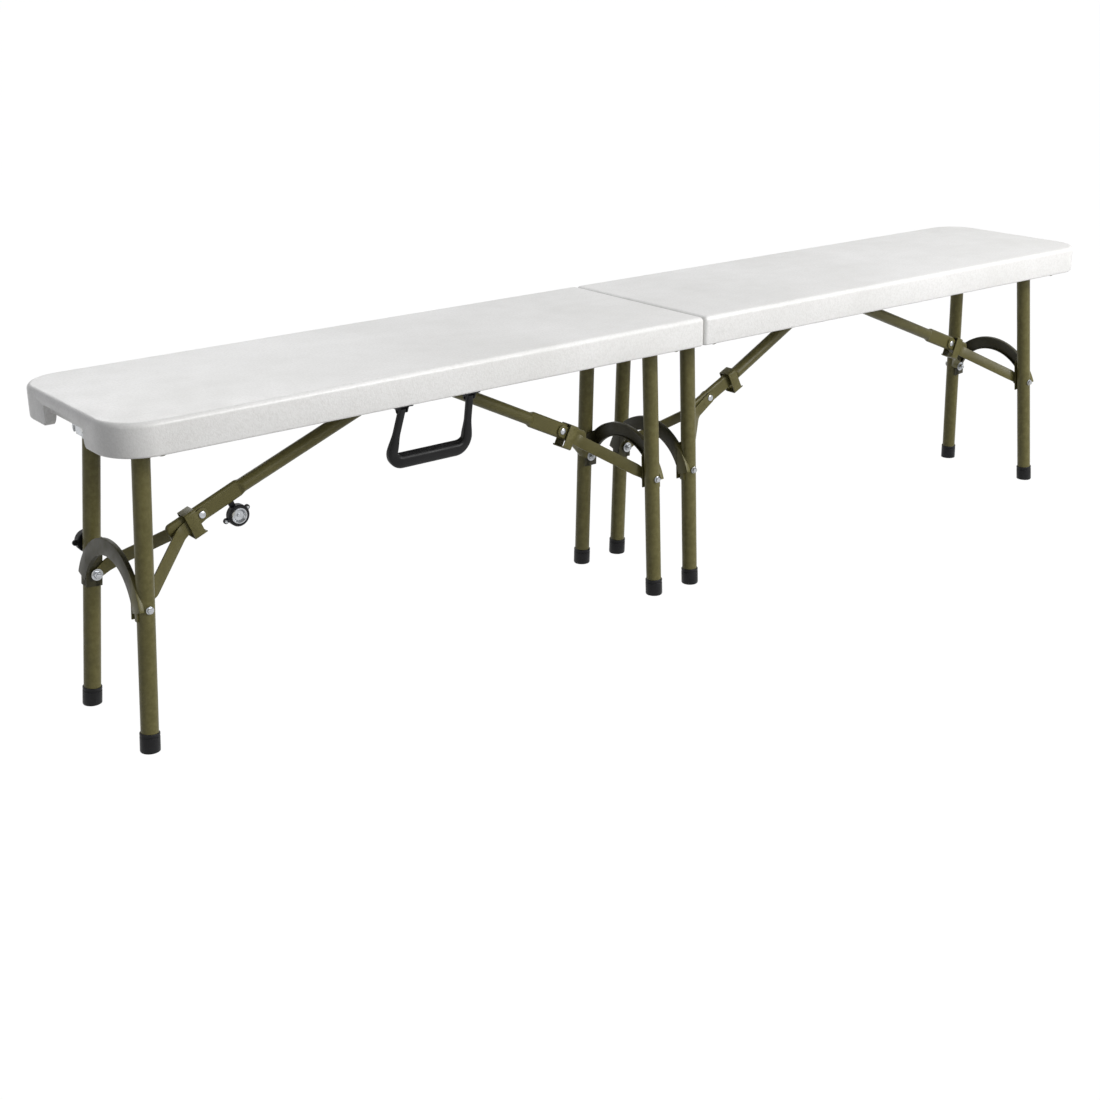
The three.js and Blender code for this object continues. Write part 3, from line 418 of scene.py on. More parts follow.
def panelRing(inset, z, steps=seat["cornerSteps"]):
    endX, sideY = seat["length"] / 2 - inset, seat["width"] / 2 - inset
    seamX = seat["seamGap"] / 2 + inset
    endR = max(seat["cornerRadius"] - inset, seat["seamCornerRadius"])
    seamR = max(seat["seamCornerRadius"] - inset, seat["bottomEdgeRadius"])
    corners = ((endX - endR, -sideY + endR, endR, -90, steps), (endX - endR, sideY - endR, endR, 0, steps),
               (seamX + seamR, sideY - seamR, seamR, 90, 6), (seamX + seamR, -sideY + seamR, seamR, 180, 6))
    ring = []
    for x, y, radius, first, count in corners:
        for i in range(count + 1):
            a = math.radians(first + 90 * i / count)
            ring.append((x + radius * math.cos(a), y + radius * math.sin(a), z))
    return ring


def notchOutline(height):
    # The opening in the end skirt: flared at the rim, and rounded under its top edge.
    flare, top, side = seat["notchFlare"], skirtBottom + height, []
    for i in range(9):
        a = math.pi / 2 * i / 8
        side.append((flare * (1 - math.sin(a)), skirtBottom - 1 + 13 * (1 - math.cos(a))))
    for i in range(5):
        a = math.pi / 2 * i / 4
        side.append((-3 * (1 - math.cos(a)), top - 3 + 3 * math.sin(a)))
    rear = [(seat["notchRear"] + y, z) for y, z in side]
    return rear + [(-seat["notchFront"] - y, z) for y, z in reversed(side)]


def seatHalf():
    low, high = seat["bottomEdgeRadius"], seat["topEdgeRadius"]
    levels = []
    for i in range(5):
        a = math.pi / 2 * i / 4
        levels.append((low * (1 - math.sin(a)), skirtBottom + low * (1 - math.cos(a))))
    for i in range(11):
        a = math.pi / 2 * i / 10
        levels.append((high * (1 - math.cos(a)), seat["height"] - high * (1 - math.sin(a))))
    shell = bare("seatHalf", ringsToMesh([panelRing(inset, z) for inset, z in levels]))
    wall, draft = seat["wall"], seat["draft"]
    hollow = ringsToMesh([
        panelRing(wall, skirtBottom - 1),
        panelRing(wall + draft, ceiling - 4),
        panelRing(wall + draft + 1.2, ceiling - 1.2),
        panelRing(wall + draft + 4, ceiling),
    ])
    endX = seat["length"] / 2
    cutNotch = pushed(notchOutline(seat["notchHeight"]), "x", endX - wall - draft - 6, endX + 1)
    cutFace = pushed(notchOutline(seat["notchFaceHeight"]), "x", endX - seat["notchFaceDepth"], endX + 1)
    first, last = seat["seamGap"] / 2 + seat["dimplePitch"], seat["length"] / 2 - seat["dimplePitch"]
    columns = int((last - first) // seat["dimplePitch"])
    mouth, floor = seat["dimpleRadius"]
    pockets = [
        rod((first + i * (last - first) / columns, y, ceiling - 1),
            (first + i * (last - first) / columns, y, ceiling + seat["dimpleDepth"]), mouth, 24, floor)
        for i in range(columns + 1) for y in seat["dimpleRows"]
    ]
    shaped(shell, [("DIFFERENCE", hollow), ("DIFFERENCE", cutNotch), ("DIFFERENCE", cutFace),
                   ("DIFFERENCE", merged(pockets))])
    return rounded(shell, 1.0, 2, 50)


halfShape = seatHalf()
for side, bodyName in ((-1, "seat_left"), (1, "seat_right")):
    placed(halfShape, bodyName + "_moulding", Matrix.Diagonal((side, 1, 1, 1)), bodyName, "seat_plastic", [bodyName])
discard(halfShape)
print("seat halves made")

# --- leg frames, drawn with the pivot at the origin, the legs down and +x away from the middle of their half
legs = {
    "pivotZ": 402.0,
    "outerX": 848.0,
    "innerX": 37.5,
    "outerLean": 5.0,
    "tubeRadius": 11.5,
    "sleeveGap": 0.3,
    "tubeEndRise": 4.5,
    "topY": 72.0,
    "footY": 89.7,
    "crossRadius": 10.5,
    "crossHalf": 133.0,
    "boltDrop": 215.0,
    "beadSize": 1.9,
    "beadRipple": 0.12,
    "beadRipples": 9,
}
sleeveInner = legs["tubeRadius"] + legs["sleeveGap"]
splay = math.atan2(legs["footY"] - legs["topY"], legs["pivotZ"])
boltAlong = legs["boltDrop"] / math.cos(splay)
boltY = legs["topY"] + legs["boltDrop"] * math.tan(splay)


def alongLeg(legSide):
    # Puts what is drawn round a leg's own axis, with +y outwards, onto the front (-1) or rear (1) leg.
    onRear = Matrix.Translation((0, legs["topY"], 0)) @ Matrix.Rotation(splay, 4, "X")
    return Matrix.Diagonal((1, legSide, 1, 1)) @ onRear


def moved(part, matrix):
    points, faces = part
    return [tuple(matrix @ Vector(p)) for p in points], faces


def weldBead(centre, radius, size):
    rings = []
    for i in range(32):
        a = 2 * math.pi * i / 32
        ripple = 1 + legs["beadRipple"] * math.sin(legs["beadRipples"] * a)
        middle = Vector((radius * math.cos(a), 0, radius * math.sin(a)))
        out = middle.normalized()
        ring = []
        for j in range(8):
            b = 2 * math.pi * j / 8
            spot = middle + out * (size * ripple * math.cos(b)) + Vector((0, size * ripple * math.sin(b), 0))
            ring.append(spot + Vector(centre))
        rings.append(ring)
    return ringsToMesh(rings, closed=True)


def legFrame(lean):
    length = legs["pivotZ"] / math.cos(lean) / math.cos(splay) - legs["tubeEndRise"]
    radius = legs["tubeRadius"]
    parts = [rod((0, -legs["crossHalf"], 0), (0, legs["crossHalf"], 0), legs["crossRadius"], 40, None, 1.0)]
    for legSide in (-1, 1):
        parts.append(moved(rod((0, 0, -length), (0, 0, 3), radius, 40, None, 1.2), alongLeg(legSide)))
        for shift in (-1, 1):
            bead = (0, legSide * legs["topY"] + shift * (radius + 1), 0)
            parts.append(weldBead(bead, legs["crossRadius"], legs["beadSize"]))
    return bare("legFrame", merged(parts))


arch = {"rise": 55.0, "breadth": 22.0, "sheet": 1.8, "depth": 6.5, "saddleLength": 33.0, "saddleReach": 6.0,
        "saddleWrap": 4.0, "cheekRise": 24.0, "cheekSide": 3.0, "cheekCorner": (5.0, 8.0), "endShare": 0.25,
        "steps": 56}


def archChannel(inner, outer):
    # A C-shaped section, with its web outwards, swept from one leg over to the other.
    radius = (boltY ** 2 + arch["rise"] ** 2) / (2 * arch["rise"])
    centreZ = legs["boltDrop"] - arch["rise"] + radius
    start = math.asin((centreZ - legs["boltDrop"]) / radius) - arch["endShare"] * arch["breadth"] / radius
    rim, sheet = outer - arch["depth"], arch["sheet"]
    low, high = radius - arch["breadth"] / 2, radius + arch["breadth"] / 2
    section = [(rim, low), (rim, low + sheet), (inner, low + sheet), (inner, high - sheet), (rim, high - sheet),
               (rim, high), (outer, high), (outer, low)]
    rings = []
    for i in range(arch["steps"] + 1):
        a = start + (math.pi - 2 * start) * i / arch["steps"]
        rings.append([(x, r * math.cos(a), r * math.sin(a) - centreZ) for x, r in section])
    return ringsToMesh(rings)


def archSaddle(inner, outer):
    # Half a sleeve round the tube, with a flat cheek on the side of the strips that runs up along the leg.
    last = math.asin(arch["saddleWrap"] / outer)
    turn = [-math.pi / 2 + (math.pi / 2 + last) * i / 20 for i in range(21)]
    outline = [(-arch["saddleReach"], -outer)] + [(outer * math.cos(a), outer * math.sin(a)) for a in turn]
    outline += [(inner * math.cos(a), inner * math.sin(a)) for a in reversed(turn)]
    outline.append((-arch["saddleReach"], -inner))
    top, bottom = -boltAlong + arch["saddleLength"] / 2, -boltAlong - arch["saddleLength"] / 2
    cheekTop, reach = top + arch["cheekRise"], arch["saddleReach"] + arch["cheekSide"]
    across, down = arch["cheekCorner"]
    cheek = [(-reach, bottom), (outer, bottom), (outer, cheekTop - down), (outer - across, cheekTop),
             (across - reach, cheekTop), (-reach, cheekTop - down)]
    return [pushed(outline, "z", bottom, top), pushed(cheek, "y", -outer, -inner)]


def legArch():
    outer = sleeveInner + arch["sheet"]
    parts = [archChannel(sleeveInner, outer)]
    for legSide in (-1, 1):
        parts += [moved(part, alongLeg(legSide)) for part in archSaddle(sleeveInner, outer)]
    return rounded(bare("legArch", merged(parts)), 0.45, 2, 35)


bolt = {"shank": 3.0, "washer": 5.2, "hex": 4.2, "headLength": 4.5, "washerLength": 1.2, "nutLength": 4.0,
        "nut": 5.4, "nutWasher": 8.0, "nutWasherLength": 0.7, "nutGap": 0.8, "pastNut": 2.5, "crownShare": 0.86,
        "stepShare": 0.25}
saddleOuter = sleeveInner + arch["sheet"]


def hexHead(y0, y1, radius):
    crown = radius * bolt["crownShare"]
    step = (y1 - y0) * bolt["stepShare"]
    rings = []
    for y, r in ((y0, radius), (y1 - step, radius), (y1, crown)):
        rings.append([(r * math.cos(math.pi / 3 * i), y, r * math.sin(math.pi / 3 * i)) for i in range(6)])
    return ringsToMesh(rings)


def legBolt():
    face = sleeveInner + bolt["washer"] * math.tan(splay)
    headFace = face + bolt["washerLength"]
    nutFace = -saddleOuter - strip["sideGap"] - strip["thick"] - bolt["nutGap"]
    nutEnd = nutFace - bolt["nutLength"]
    parts = [
        rod((0, nutEnd - bolt["pastNut"], 0), (0, face + 1, 0), bolt["shank"], 20, None, 0.6),
        rod((0, face, 0), (0, headFace, 0), bolt["washer"], 32, None, 0.4),
        hexHead(headFace, headFace + bolt["headLength"] - 1.5, bolt["hex"]),
        rod((0, nutFace + bolt["nutWasherLength"], 0), (0, nutFace, 0), bolt["nutWasher"], 32, None, 0.2),
        hexHead(nutFace, nutEnd, bolt["nut"]),
    ]
    return bare("legBolt", merged(parts))


cap = {"radius": 13.0, "height": 25.0, "sole": 4.0}


def footCap(lean, legSide):
    length = legs["pivotZ"] / math.cos(lean) / math.cos(splay)
    low = -length - cap["radius"] * math.sin(splay + lean) - 1
    top = -length + cap["height"]
    r, bore = cap["radius"], sleeveInner
    profile = [(0, low), (r - 2.4, low), (r - 1, low + 0.8), (r, low + 3), (r, top - 6), (r - 0.7, top - 5.4),
               (r - 0.7, top - 4.2), (r, top - 3.6), (r, top - 1), (r - 0.6, top - 0.2), (bore, top),
               (bore, -length + cap["sole"]), (0, -length + cap["sole"])]
    thing = bare("footCap", moved(lathe(profile, axis="z", sides=40), alongLeg(legSide)))
    work = bmesh.new()
    work.from_mesh(thing.data)
    ground = Matrix.Rotation(-lean, 4, "Y").inverted() @ Vector((0, 0, -legs["pivotZ"]))
    down = Matrix.Rotation(-lean, 3, "Y").inverted() @ Vector((0, 0, -1))
    everything = work.verts[:] + work.edges[:] + work.faces[:]
    cutEdges = bmesh.ops.bisect_plane(work, geom=everything, plane_co=ground, plane_no=down, clear_outer=True)
    rim = [e for e in cutEdges["geom_cut"] if isinstance(e, bmesh.types.BMEdge)]
    bmesh.ops.contextual_create(work, geom=rim)
    bmesh.ops.recalc_face_normals(work, faces=work.faces)
    work.to_mesh(thing.data)
    work.free()
    return thing


# --- knee linkage
links = {
    "outerPinX": 380.0,
    "innerPinX": 450.0,
    "pinZ": 412.0,
    "pinY": 12.0,
    "outerFork": 142.4,
    "innerFork": 136.9,
    "foldedKneeZ": 413.0,
}


def linkage(lean, pinDistance, fork):
    drop = legs["boltDrop"]
    anchor = Vector((drop * math.sin(lean), -drop * math.cos(lean)))
    pin = Vector((-pinDistance, links["pinZ"] - legs["pivotZ"]))
    rise = links["foldedKneeZ"] - legs["pivotZ"]
    brace = (Vector((-drop + math.sqrt(fork ** 2 - rise ** 2), rise)) - pin).length
    span = (pin - anchor).length
    along = (brace ** 2 - fork ** 2 + span ** 2) / (2 * span)
    across = math.sqrt(brace ** 2 - along ** 2)
    way = (anchor - pin) / span
    knee = Vector((pin.x + along * way.x - across * way.y, pin.y + along * way.y + across * way.x))
    braceAngle = math.atan2(knee.y - pin.y, knee.x - pin.x)
    forkAngle = math.atan2(anchor.y - knee.y, anchor.x - knee.x)
    return pin, knee, brace, braceAngle, forkAngle


brace = {"radius": 9.5, "flatHigh": 12.0, "flatThick": 4.4, "flatLength": 60.0, "flatBlend": 8.0, "tail": 50.0,
         "eyeHigh": 10.0, "eyeThick": 5.0, "eyeLength": 12.0, "eyeBlend": 14.0, "eyeRound": 10.0, "tipRound": 6.0,
         "pinHole": 3.35, "sides": 40}


def braceRing(x, y, halfHigh, halfThick):
    r = min(halfHigh, halfThick)
    ring = []
    for i in range(brace["sides"]):
        a = 2 * math.pi * (i + 0.5) / brace["sides"]
        z = math.copysign(halfHigh - r, math.sin(a)) + r * math.sin(a)
        ring.append((x, y + math.copysign(halfThick - r, math.cos(a)) + r * math.cos(a), z))
    return ring


def braceTube(length, kneeY):
    roundEnd = length - brace["flatLength"] - brace["flatBlend"]
    high, thick, r = brace["flatHigh"], brace["flatThick"], brace["radius"]

    def level(x):
        return kneeY * min(max(x, 0), roundEnd) / roundEnd

    rings = []
    for i in range(6):
        a = math.pi / 2 * i / 5
        share = max(math.sin(a), 0.2)
        rings.append(braceRing(-brace["eyeRound"] * math.cos(a), 0, brace["eyeHigh"] * share, brace["eyeThick"]))
    for i in range(7):
        share = smoothStep(i / 6)
        x = brace["eyeLength"] + brace["eyeBlend"] * i / 6
        rings.append(braceRing(x, level(x), brace["eyeHigh"] + (r - brace["eyeHigh"]) * share,
                               brace["eyeThick"] + (r - brace["eyeThick"]) * share))
    for i in range(11):
        share = smoothStep(i / 10)
        x = roundEnd + brace["flatBlend"] * i / 10
        rings.append(braceRing(x, level(x), r + (high - r) * share, r + (thick - r) * share))
    end, tip = length + brace["tail"], brace["tipRound"]
    rings.append(braceRing(end - tip, kneeY, high, thick))
    for i in range(1, 6):
        a = math.pi / 2 * i / 5
        rings.append(braceRing(end - tip + tip * math.sin(a), kneeY, high - tip * (1 - math.cos(a)), thick))
    hole = rod((0, -40, 0), (0, 40, 0), brace["pinHole"], 24)
    return shaped(bare("brace", ringsToMesh(rings)), [("DIFFERENCE", hole)])


strip = {"thick": 2.4, "half": 9.0, "tip": 6.4, "taper": 22.0, "straight": 30.0, "sideGap": 1.0, "seam": 15.5,
         "seamGap": 0.2, "bendBefore": 15.0, "soft": 0.12, "flatGap": 0.3}
stripInner = brace["flatThick"] + strip["flatGap"]
stripRivetY = stripInner + strip["thick"] / 2
stripBoltY = boltY - saddleOuter - strip["sideGap"] - strip["thick"] / 2


def stripPath(length, x):
    # Where the strip runs in plan: beside the flat at the knee, then out to the leg.
    start, end = strip["straight"], length - strip["bendBefore"]
    share = min(max((x - start) / (end - start), 0), 1)
    soft = strip["soft"]
    if share < soft:
        eased = share * share / (2 * soft)
    elif share > 1 - soft:
        eased = 1 - soft - (1 - share) * (1 - share) / (2 * soft)
    else:
        eased = share - soft / 2
    return stripRivetY + (stripBoltY - stripRivetY) * eased / (1 - soft)


def stripHalf(length, x):
    # Half height of the strip at x, round at both ends and tapering towards the bolt.
    half, tip, taperStart = strip["half"], strip["tip"], length - strip["taper"]
    if x < 0:
        return math.sqrt(max(half ** 2 - x ** 2, 0.04))
    if x > length:
        return math.sqrt(max(tip ** 2 - (x - length) ** 2, 0.04))
    if x > taperStart:
        return half + (tip - half) * (x - taperStart) / strip["taper"]
    return half


def forkStrip(length, first, last):
    stops = [first + (last - first) * i / 60 for i in range(61)]
    for centre, reach in ((0, -strip["half"]), (length, strip["tip"])):
        stops += [centre + reach * math.sin(math.pi / 2 * i / 10) for i in range(11)]
    stops = sorted(x for x in set(round(x, 4) for x in stops) if first <= x <= last)
    rings = []
    for x in stops:
        y, slope = stripPath(length, x), (stripPath(length, x + 0.5) - stripPath(length, x - 0.5))
        across = Vector((-slope, 1, 0)).normalized() * (strip["thick"] / 2)
        half = stripHalf(length, x)
        rings.append([
            (x + across.x * s, y + across.y * s, half * t) for s, t in ((-1, -1), (1, -1), (1, 1), (-1, 1))
        ])
    return rounded(bare("forkStrip", ringsToMesh(rings)), 0.4, 2, 60)


rivet = {"radius": 5.2, "height": 2.2}


def kneeRivet():
    face, parts = stripInner + strip["thick"], []
    for way in (-1, 1):
        profile = [(0, way * (face - 0.5)), (rivet["radius"], way * (face - 0.3)),
                   (rivet["radius"], way * (face + 0.5))]
        for i in range(1, 8):
            a = math.pi / 2 * i / 7
            profile.append((rivet["radius"] * math.cos(a), way * (face + 0.5 + (rivet["height"] - 0.5) * math.sin(a))))
        parts.append(lathe(profile))
    return bare("kneeRivet", merged(parts))


ring = {"length": 16.0, "sheet": 1.6, "below": 7.5, "slack": 10.0, "lip": 3.0, "lipRise": 1.0, "corner": 3.0,
        "gap": 0.3, "drawnUp": -62.0}


def collarRing(x, halfWidth, top, bottom, radius):
    outline = []
    for y, z, first in ((halfWidth - radius, bottom + radius, -90), (halfWidth - radius, top - radius, 0),
                        (-halfWidth + radius, top - radius, 90), (-halfWidth + radius, bottom + radius, 180)):
        for i in range(7):
            a = math.radians(first + 15 * i)
            outline.append((x, y + radius * math.cos(a), z + radius * math.sin(a)))
    return outline


def lockRing():
    half = brace["radius"] + ring["gap"]
    top, bottom, sheet = brace["flatHigh"] + ring["gap"], -brace["flatHigh"] - ring["slack"], ring["sheet"]
    outer = (half + sheet, top + sheet, bottom - sheet, ring["corner"])
    inner = (half, top, bottom, ring["corner"] - sheet / 2)
    ends = (-ring["lip"], ring["length"])
    loops = [collarRing(ends[0], *outer), collarRing(ends[1], *outer),
             collarRing(ends[1], *inner), collarRing(ends[0], *inner)]
    thing = bare("lockRing", ringsToMesh(loops, closed=True))
    clear = half + sheet + 2
    over = box(-ring["lip"] - 1, 0, -clear, clear, bottom + ring["lipRise"], top + sheet + 2)
    return rounded(shaped(thing, [("DIFFERENCE", over)]), 0.35, 2, 50)


# --- the two catches, with the axis along y and the face at -y
catch = {"radius": 15.0, "thick": 8.0, "face": 11.6, "spacing": 34.0, "earRadius": 4.0, "earThick": 3.0,
         "gap": 0.3, "webHalf": 3.1, "neckHalf": 4.0, "aboveRivet": 44.0, "belowBrace": 32.0, "legDrop": 178.0}


def earedCatch(neckTop):
    r, thick, ear = catch["radius"], catch["thick"], catch["earThick"]
    parts = [lathe([(0, ear), (r - 1, ear), (r, ear - 1), (r, 1.5 - thick), (r - 1.5, -thick), (catch["face"], -thick),
                    (catch["face"], 3.6 - thick), (0, 3.6 - thick)])]
    for way in (-1, 1):
        x = way * catch["spacing"] / 2
        parts.append(rod((x, 0, 0), (x, ear, 0), catch["earRadius"], 24, None, 0.5))
    web, across = catch["webHalf"], catch["spacing"] / 2
    parts.append(box(-across, across, 0.2, ear - 0.2, -web, web))
    if neckTop:
        parts.append(box(-catch["neckHalf"], catch["neckHalf"], 0, ear, 0, neckTop))
    return bare("catch", merged(parts))


def catchMetal():
    r, front = catch["face"] - catch["gap"], -catch["thick"]
    parts = [lathe([(0, front + 3.4), (r, front + 3.4), (r, front + 0.2), (r - 0.8, front - 0.9),
                    (r - 2.2, front - 0.9), (r - 3.4, front + 0.6), (r - 4.6, front + 2.6), (2.6, front + 3.0),
                    (2.2, front + 1.8), (0, front + 1.6)])]
    for way in (-1, 1):
        x = way * catch["spacing"] / 2
        parts.append(lathe([(0, 0.2), (2.7, 0.2), (2.7, -0.4), (1.8, -1.5), (0, -1.8)], (x, 0, 0)))
    return bare("catchMetal", merged(parts))


frames = (
    ("left_outer", -1, -1, "outer"),
    ("left_inner", -1, 1, "inner"),
    ("right_inner", 1, -1, "inner"),
    ("right_outer", 1, 1, "outer"),
)
archShape, boltShape, ringShape, rivetShape = legArch(), legBolt(), lockRing(), kneeRivet()
print("arch, bolt, ring and rivet shapes made")
for name, side, outward, kind in frames:
    lean = math.radians(legs["outerLean"]) if kind == "outer" else 0.0
    pinX, pivotX, fork = links[kind + "PinX"], legs[kind + "X"], links[kind + "Fork"]
    pinY = -links["pinY"] if kind == "outer" else links["pinY"]
    pin, knee, braceLength, braceAngle, forkAngle = linkage(lean, abs(pinX - pivotX), fork)
    place = Matrix.Translation((side * pivotX, 0, legs["pivotZ"])) @ Matrix.Diagonal((outward, 1, 1, 1))
    onLegs = place @ Matrix.Rotation(-lean, 4, "Y")
    onBrace = place @ Matrix.Translation((pin.x, pinY, pin.y)) @ Matrix.Rotation(-braceAngle, 4, "Y")
    onKnee = onBrace @ Matrix.Translation((braceLength, -pinY, 0))
    onFork = place @ Matrix.Translation((knee.x, 0, knee.y)) @ Matrix.Rotation(-forkAngle, 4, "Y")
    legShape = legFrame(lean)
    placed(legShape, name + "_legs", onLegs, name + "_leg", "olive_paint", [name + "_leg_frame"])
    placed(archShape, name + "_arch", onLegs, name + "_leg", "dark_paint", [name + "_leg_arch"])
    for legName, legSide in (("front", -1), ("rear", 1)):
        capShape = footCap(lean, legSide)
        placed(capShape, name + "_" + legName + "_cap", onLegs, name + "_leg", "black_plastic",
               [name + "_" + legName + "_foot_cap"])
        onBolt = onLegs @ Matrix.Diagonal((1, legSide, 1, 1)) @ Matrix.Translation((0, boltY, -legs["boltDrop"]))
        placed(boltShape, name + "_" + legName + "_bolt", onBolt, name + "_leg", "zinc_steel",
               [name + "_" + legName + "_leg_bolt"])
        discard(capShape)
    braceShape = braceTube(braceLength, -pinY)
    placed(braceShape, name + "_brace_tube", onBrace, name + "_brace", "olive_paint", [name + "_brace"])
    shift = ring["drawnUp"] if name == "right_inner" else ring["below"]
    placed(ringShape, name + "_ring", onKnee @ Matrix.Translation((shift, 0, 0)), name + "_ring", "olive_paint",
           [name + "_lock_ring"])
    stripShape = forkStrip(fork, strip["seam"], fork + strip["tip"])
    headShape = forkStrip(fork, -strip["half"], strip["seam"] - strip["seamGap"])
    for legName, legSide in (("front", -1), ("rear", 1)):
        mirror = Matrix.Diagonal((1, legSide, 1, 1))
        placed(stripShape, name + "_" + legName + "_strip", onFork @ mirror, name + "_fork", "olive_paint",
               [name + "_" + legName + "_fork_strip"])
        head = placed(headShape, name + "_" + legName + "_strip_head", onFork @ mirror, name + "_head", "olive_paint")
    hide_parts(name + "_fork_head")
    placed(rivetShape, name + "_rivet", onFork, name + "_head", "zinc_steel")
    discard(legShape, braceShape, stripShape, headShape)
    if name == "left_outer":
        down = Matrix.Translation((-catch["aboveRivet"], 0, -catch["belowBrace"]))
        neckTop = catch["belowBrace"] - brace["flatHigh"] - catch["gap"]
        shape, metal = earedCatch(neckTop), catchMetal()
        placed(shape, "brace_catch_body", onKnee @ down, name + "_ring", "black_plastic", ["brace_catch"])
        placed(metal, "brace_catch_metal", onKnee @ down, name + "_ring", "zinc_steel")
        discard(shape, metal)
        shape, metal = earedCatch(0), catchMetal()
        outFace = sleeveInner + catch["earThick"]
        onRear = onLegs @ alongLeg(1) @ Matrix.Translation((0, outFace, -catch["legDrop"]))
        turned = onRear @ Matrix.Diagonal((1, -1, 1, 1))
        placed(shape, "leg_catch_body", turned, name + "_leg", "black_plastic", ["leg_catch"])
        placed(metal, "leg_catch_metal", turned, name + "_leg", "zinc_steel")
        discard(shape, metal)
    print("leg frame made:", name)
discard(archShape, boltShape, ringShape, rivetShape)

# --- screw heads of the latch and its striker, one in each end notch
latchScrew = {"x": 899.4, "y": -35.0, "z": 405.0, "washer": 6.4, "washerLength": 0.9, "hex": 5.0, "top": 4.6}
washer = rod((0, 0, 0), (latchScrew["washerLength"], 0, 0), latchScrew["washer"], 32, None, 0.25)
hexTop = hexHead(latchScrew["washerLength"], latchScrew["top"], latchScrew["hex"])
screwHead = bare("screwHead", merged([washer, moved(hexTop, Matrix.Rotation(math.radians(-90), 4, "Z"))]))
for bodyName, way in (("seat_left", -1), ("seat_right", 1)):
    atNotch = Matrix.Translation((latchScrew["x"], latchScrew["y"], latchScrew["z"]))
    placed(screwHead, bodyName + "_latch_screw", Matrix.Diagonal((way, 1, 1, 1)) @ atNotch, bodyName, "zinc_steel")
discard(screwHead)
print("latch screws made")

# --- carry handle
handle = {
    "x": -467.0,
    "spacing": 106.0,
    "pivotY": -142.0,
    "pivotZ": 391.0,
    "reach": 87.0,
    "tilt": 17.0,
    "armWidth": 10.0,
    "armDepth": 7.0,
    "gripHeight": 19.0,
    "gripDepth": 17.0,
    "spread": 6.0,
    "corner": 16.0,
    "widenFrom": 0.55,
    "armWiden": 0.45,
    "squareness": 0.55,
    "sides": 28,
}


def bail():
    half = handle["spacing"] / 2
    grip = half + handle["spread"]
    low, corner = -handle["reach"] + handle["gripHeight"] / 2, handle["corner"]
    stops = []
    for i in range(13):
        share = i / 12
        top, bottom = handle["armDepth"] / 2, low + corner
        width = handle["armWiden"] * smoothStep(max(0, (share - handle["widenFrom"]) / (1 - handle["widenFrom"])))
        stops.append((Vector((-half - handle["spread"] * share, 0, top + (bottom - top) * share)),
                      Vector((0, 0, -1)), width))
    for i in range(1, 10):
        a = math.pi / 2 * i / 9
        spot = Vector((-grip + corner - corner * math.cos(a), 0, low + corner - corner * math.sin(a)))
        width = handle["armWiden"] + (1 - handle["armWiden"]) * smoothStep(i / 9)
        stops.append((spot, Vector((math.sin(a), 0, -math.cos(a))), width))
    stops += [(Vector((-p.x, 0, p.z)), Vector((h.x, 0, -h.z)), s) for p, h, s in reversed(stops)]
    rings = []
    for spot, heading, share in stops:
        high = (handle["armWidth"] + (handle["gripHeight"] - handle["armWidth"]) * share) / 2
        deep = (handle["armDepth"] + (handle["gripDepth"] - handle["armDepth"]) * share) / 2
        across = Vector((-heading.z, 0, heading.x))
        loop = []
        for i in range(handle["sides"]):
            a = 2 * math.pi * (i + 0.5) / handle["sides"]
            u = math.copysign(abs(math.cos(a)) ** handle["squareness"], math.cos(a)) * high
            v = math.copysign(abs(math.sin(a)) ** handle["squareness"], math.sin(a)) * deep
            loop.append(spot + across * u + Vector((0, v, 0)))
        rings.append(loop)
    return bare("bail", ringsToMesh(rings))


clip = {"plateHalf": 14.0, "halfDepth": 6.5, "plateLow": 5.2, "plateHigh": 6.7, "cheekTop": 6.0, "eye": 3.5,
        "cheekIn": 5.4, "cheekOut": 7.6, "pin": 2.2}


def handleClip():
    deep, eye, far = clip["halfDepth"], clip["eye"], clip["cheekOut"]
    pieces = [box(-clip["plateHalf"], clip["plateHalf"], -deep, deep, clip["plateLow"], clip["plateHigh"])]
    for way in (-1, 1):
        outline = [(deep, clip["cheekTop"]), (-deep, clip["cheekTop"])]
        outline += [(-eye * math.cos(math.pi * i / 12), -eye * math.sin(math.pi * i / 12)) for i in range(13)]
        pieces.append(pushed(outline, "x", way * clip["cheekIn"], way * far))
    pieces.append(rod((-far, 0, 0), (far, 0, 0), clip["pin"], 20))
    return rounded(bare("clip", merged(pieces)), 0.4, 2, 50)


bailShape, clipShape = bail(), handleClip()
atHandle = Matrix.Translation((handle["x"], handle["pivotY"], handle["pivotZ"]))
placed(bailShape, "carry_handle_bail", atHandle @ Matrix.Rotation(math.radians(handle["tilt"]), 4, "X"), "handle",
       "black_plastic", ["carry_handle"])
for way, nodeName in ((-1, "handle_clip_outer"), (1, "handle_clip_inner")):
    placed(clipShape, nodeName + "_moulding", atHandle @ Matrix.Translation((way * handle["spacing"] / 2, 0, 0)),
           "seat_left", "black_plastic", [nodeName])
discard(bailShape, clipShape)
print("carry handle made")

# --- camera, floor and light
view = {
    "spot": (-1.62758, -1.88668, 0.960),
    "forward": (0.5728, 0.7425, -0.3473),
    "right": (0.7896, -0.6135, -0.0093),
    "lens": 54.15,
    "sensor": 36,
}
forward, right = Vector(view["forward"]).normalized(), Vector(view["right"]).normalized()
upward = right.cross(forward).normalized()
camera = bpy.data.objects.new("camera", bpy.data.cameras.new("camera"))
camera.data.lens = view["lens"]
camera.data.sensor_width = view["sensor"]
turn = Matrix((right, upward, -forward)).transposed().to_4x4()
camera.matrix_world = Matrix.Translation(view["spot"]) @ turn
bpy.context.scene.collection.objects.link(camera)
bpy.context.scene.camera = camera


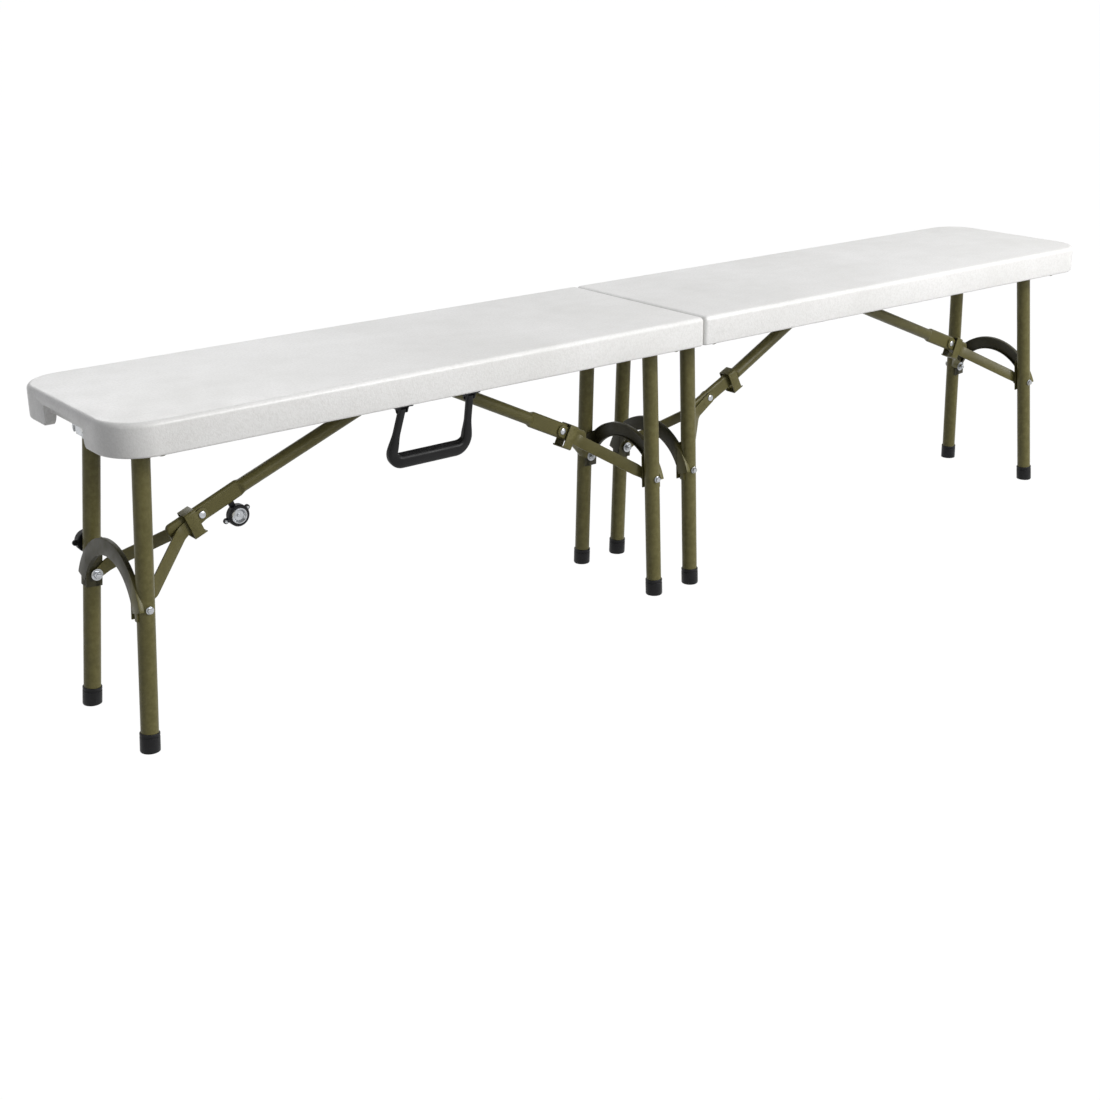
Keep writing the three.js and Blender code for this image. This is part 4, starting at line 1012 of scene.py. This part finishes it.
def whiteForCamera(tree, surface, output, socket, strength=1.0):
    # White where the camera, a mirror or glass looks straight at it.
    path = tree.nodes.new("ShaderNodeLightPath")
    seen = path.outputs["Is Camera Ray"]
    for extra in ("Is Glossy Ray", "Is Transmission Ray"):
        either = tree.nodes.new("ShaderNodeMath")
        either.operation = "MAXIMUM"
        tree.links.new(seen, either.inputs[0])
        tree.links.new(path.outputs[extra], either.inputs[1])
        seen = either.outputs[0]
    glow = tree.nodes.new("ShaderNodeEmission")
    glow.inputs["Strength"].default_value = strength
    blend = tree.nodes.new("ShaderNodeMixShader")
    tree.links.new(seen, blend.inputs[0])
    tree.links.new(surface, blend.inputs[1])
    tree.links.new(glow.outputs[0], blend.inputs[2])
    tree.links.new(blend.outputs[0], output.inputs[socket])
    return blend, seen


studio = {
    "sky": (0.93, 0.95, 1.0, 1),
    "skyStrength": 0.28,
    "floorTone": (0.4, 0.4, 0.4, 1),
    "floorReach": 60.0,
    "floorDrop": 0.0005,
    "floorGlow": 1.07,
    "floorShare": 0.93,
    "aimHeight": 0.35,
}
world = bpy.data.worlds.new("studio")
bpy.context.scene.world = world
world.use_nodes = True
sky = world.node_tree.nodes["Background"]
sky.inputs["Color"].default_value = studio["sky"]
sky.inputs["Strength"].default_value = studio["skyStrength"]
whiteForCamera(world.node_tree, sky.outputs[0], world.node_tree.nodes["World Output"], "Surface")

floorMesh = bpy.data.meshes.new("floor")
reach = studio["floorReach"]
floorMesh.from_pydata([(-reach, -reach, 0), (reach, -reach, 0), (reach, reach, 0), (-reach, reach, 0)], [],
                      [(0, 1, 2, 3)])
floor = bpy.data.objects.new("floor", floorMesh)
floor.location.z = -studio["floorDrop"]
bpy.context.scene.collection.objects.link(floor)
floorMaterial = bpy.data.materials.new("floor")
floorMaterial.use_nodes = True
floorShader = floorMaterial.node_tree.nodes["Principled BSDF"]
floorShader.inputs["Base Color"].default_value = studio["floorTone"]
floorShader.inputs["Roughness"].default_value = 0.9
floorShader.inputs["Specular IOR Level"].default_value = 0.1
floorOutput = floorMaterial.node_tree.nodes["Material Output"]
floorBlend, floorSeen = whiteForCamera(floorMaterial.node_tree, floorShader.outputs[0], floorOutput, "Surface",
                                       studio["floorGlow"])
fade = floorMaterial.node_tree.nodes.new("ShaderNodeMath")
fade.operation = "MULTIPLY"
fade.inputs[1].default_value = studio["floorShare"]  # the rest of the floor still takes the bench's shadow
floorMaterial.node_tree.links.new(floorSeen, fade.inputs[0])
floorMaterial.node_tree.links.new(fade.outputs[0], floorBlend.inputs[0])
floorMesh.materials.append(floorMaterial)

lamps = {
    "key": {"spot": (1.6, -3.6, 2.2), "size": 2.2, "power": 160.0},
    "top": {"spot": (2.1, -1.2, 3.3), "size": 1.1, "power": 34.0},
    "fill": {"spot": (-3.4, -1.2, 1.6), "size": 2.6, "power": 8.0},
    "back": {"spot": (0.4, 3.2, 2.6), "size": 2.6, "power": 30.0},
}
for lampName, lamp in lamps.items():
    data = bpy.data.lights.new(lampName, "AREA")
    data.shape = "DISK"
    data.size = lamp["size"]
    data.energy = lamp["power"]
    thing = bpy.data.objects.new(lampName, data)
    thing.location = lamp["spot"]
    aim = Vector((0, 0, studio["aimHeight"])) - Vector(lamp["spot"])
    thing.rotation_euler = aim.to_track_quat("-Z", "Y").to_euler()
    bpy.context.scene.collection.objects.link(thing)
bpy.context.scene.view_settings.view_transform = "Standard"
print("camera, floor and lamps made")

bpy.context.view_layer.update()
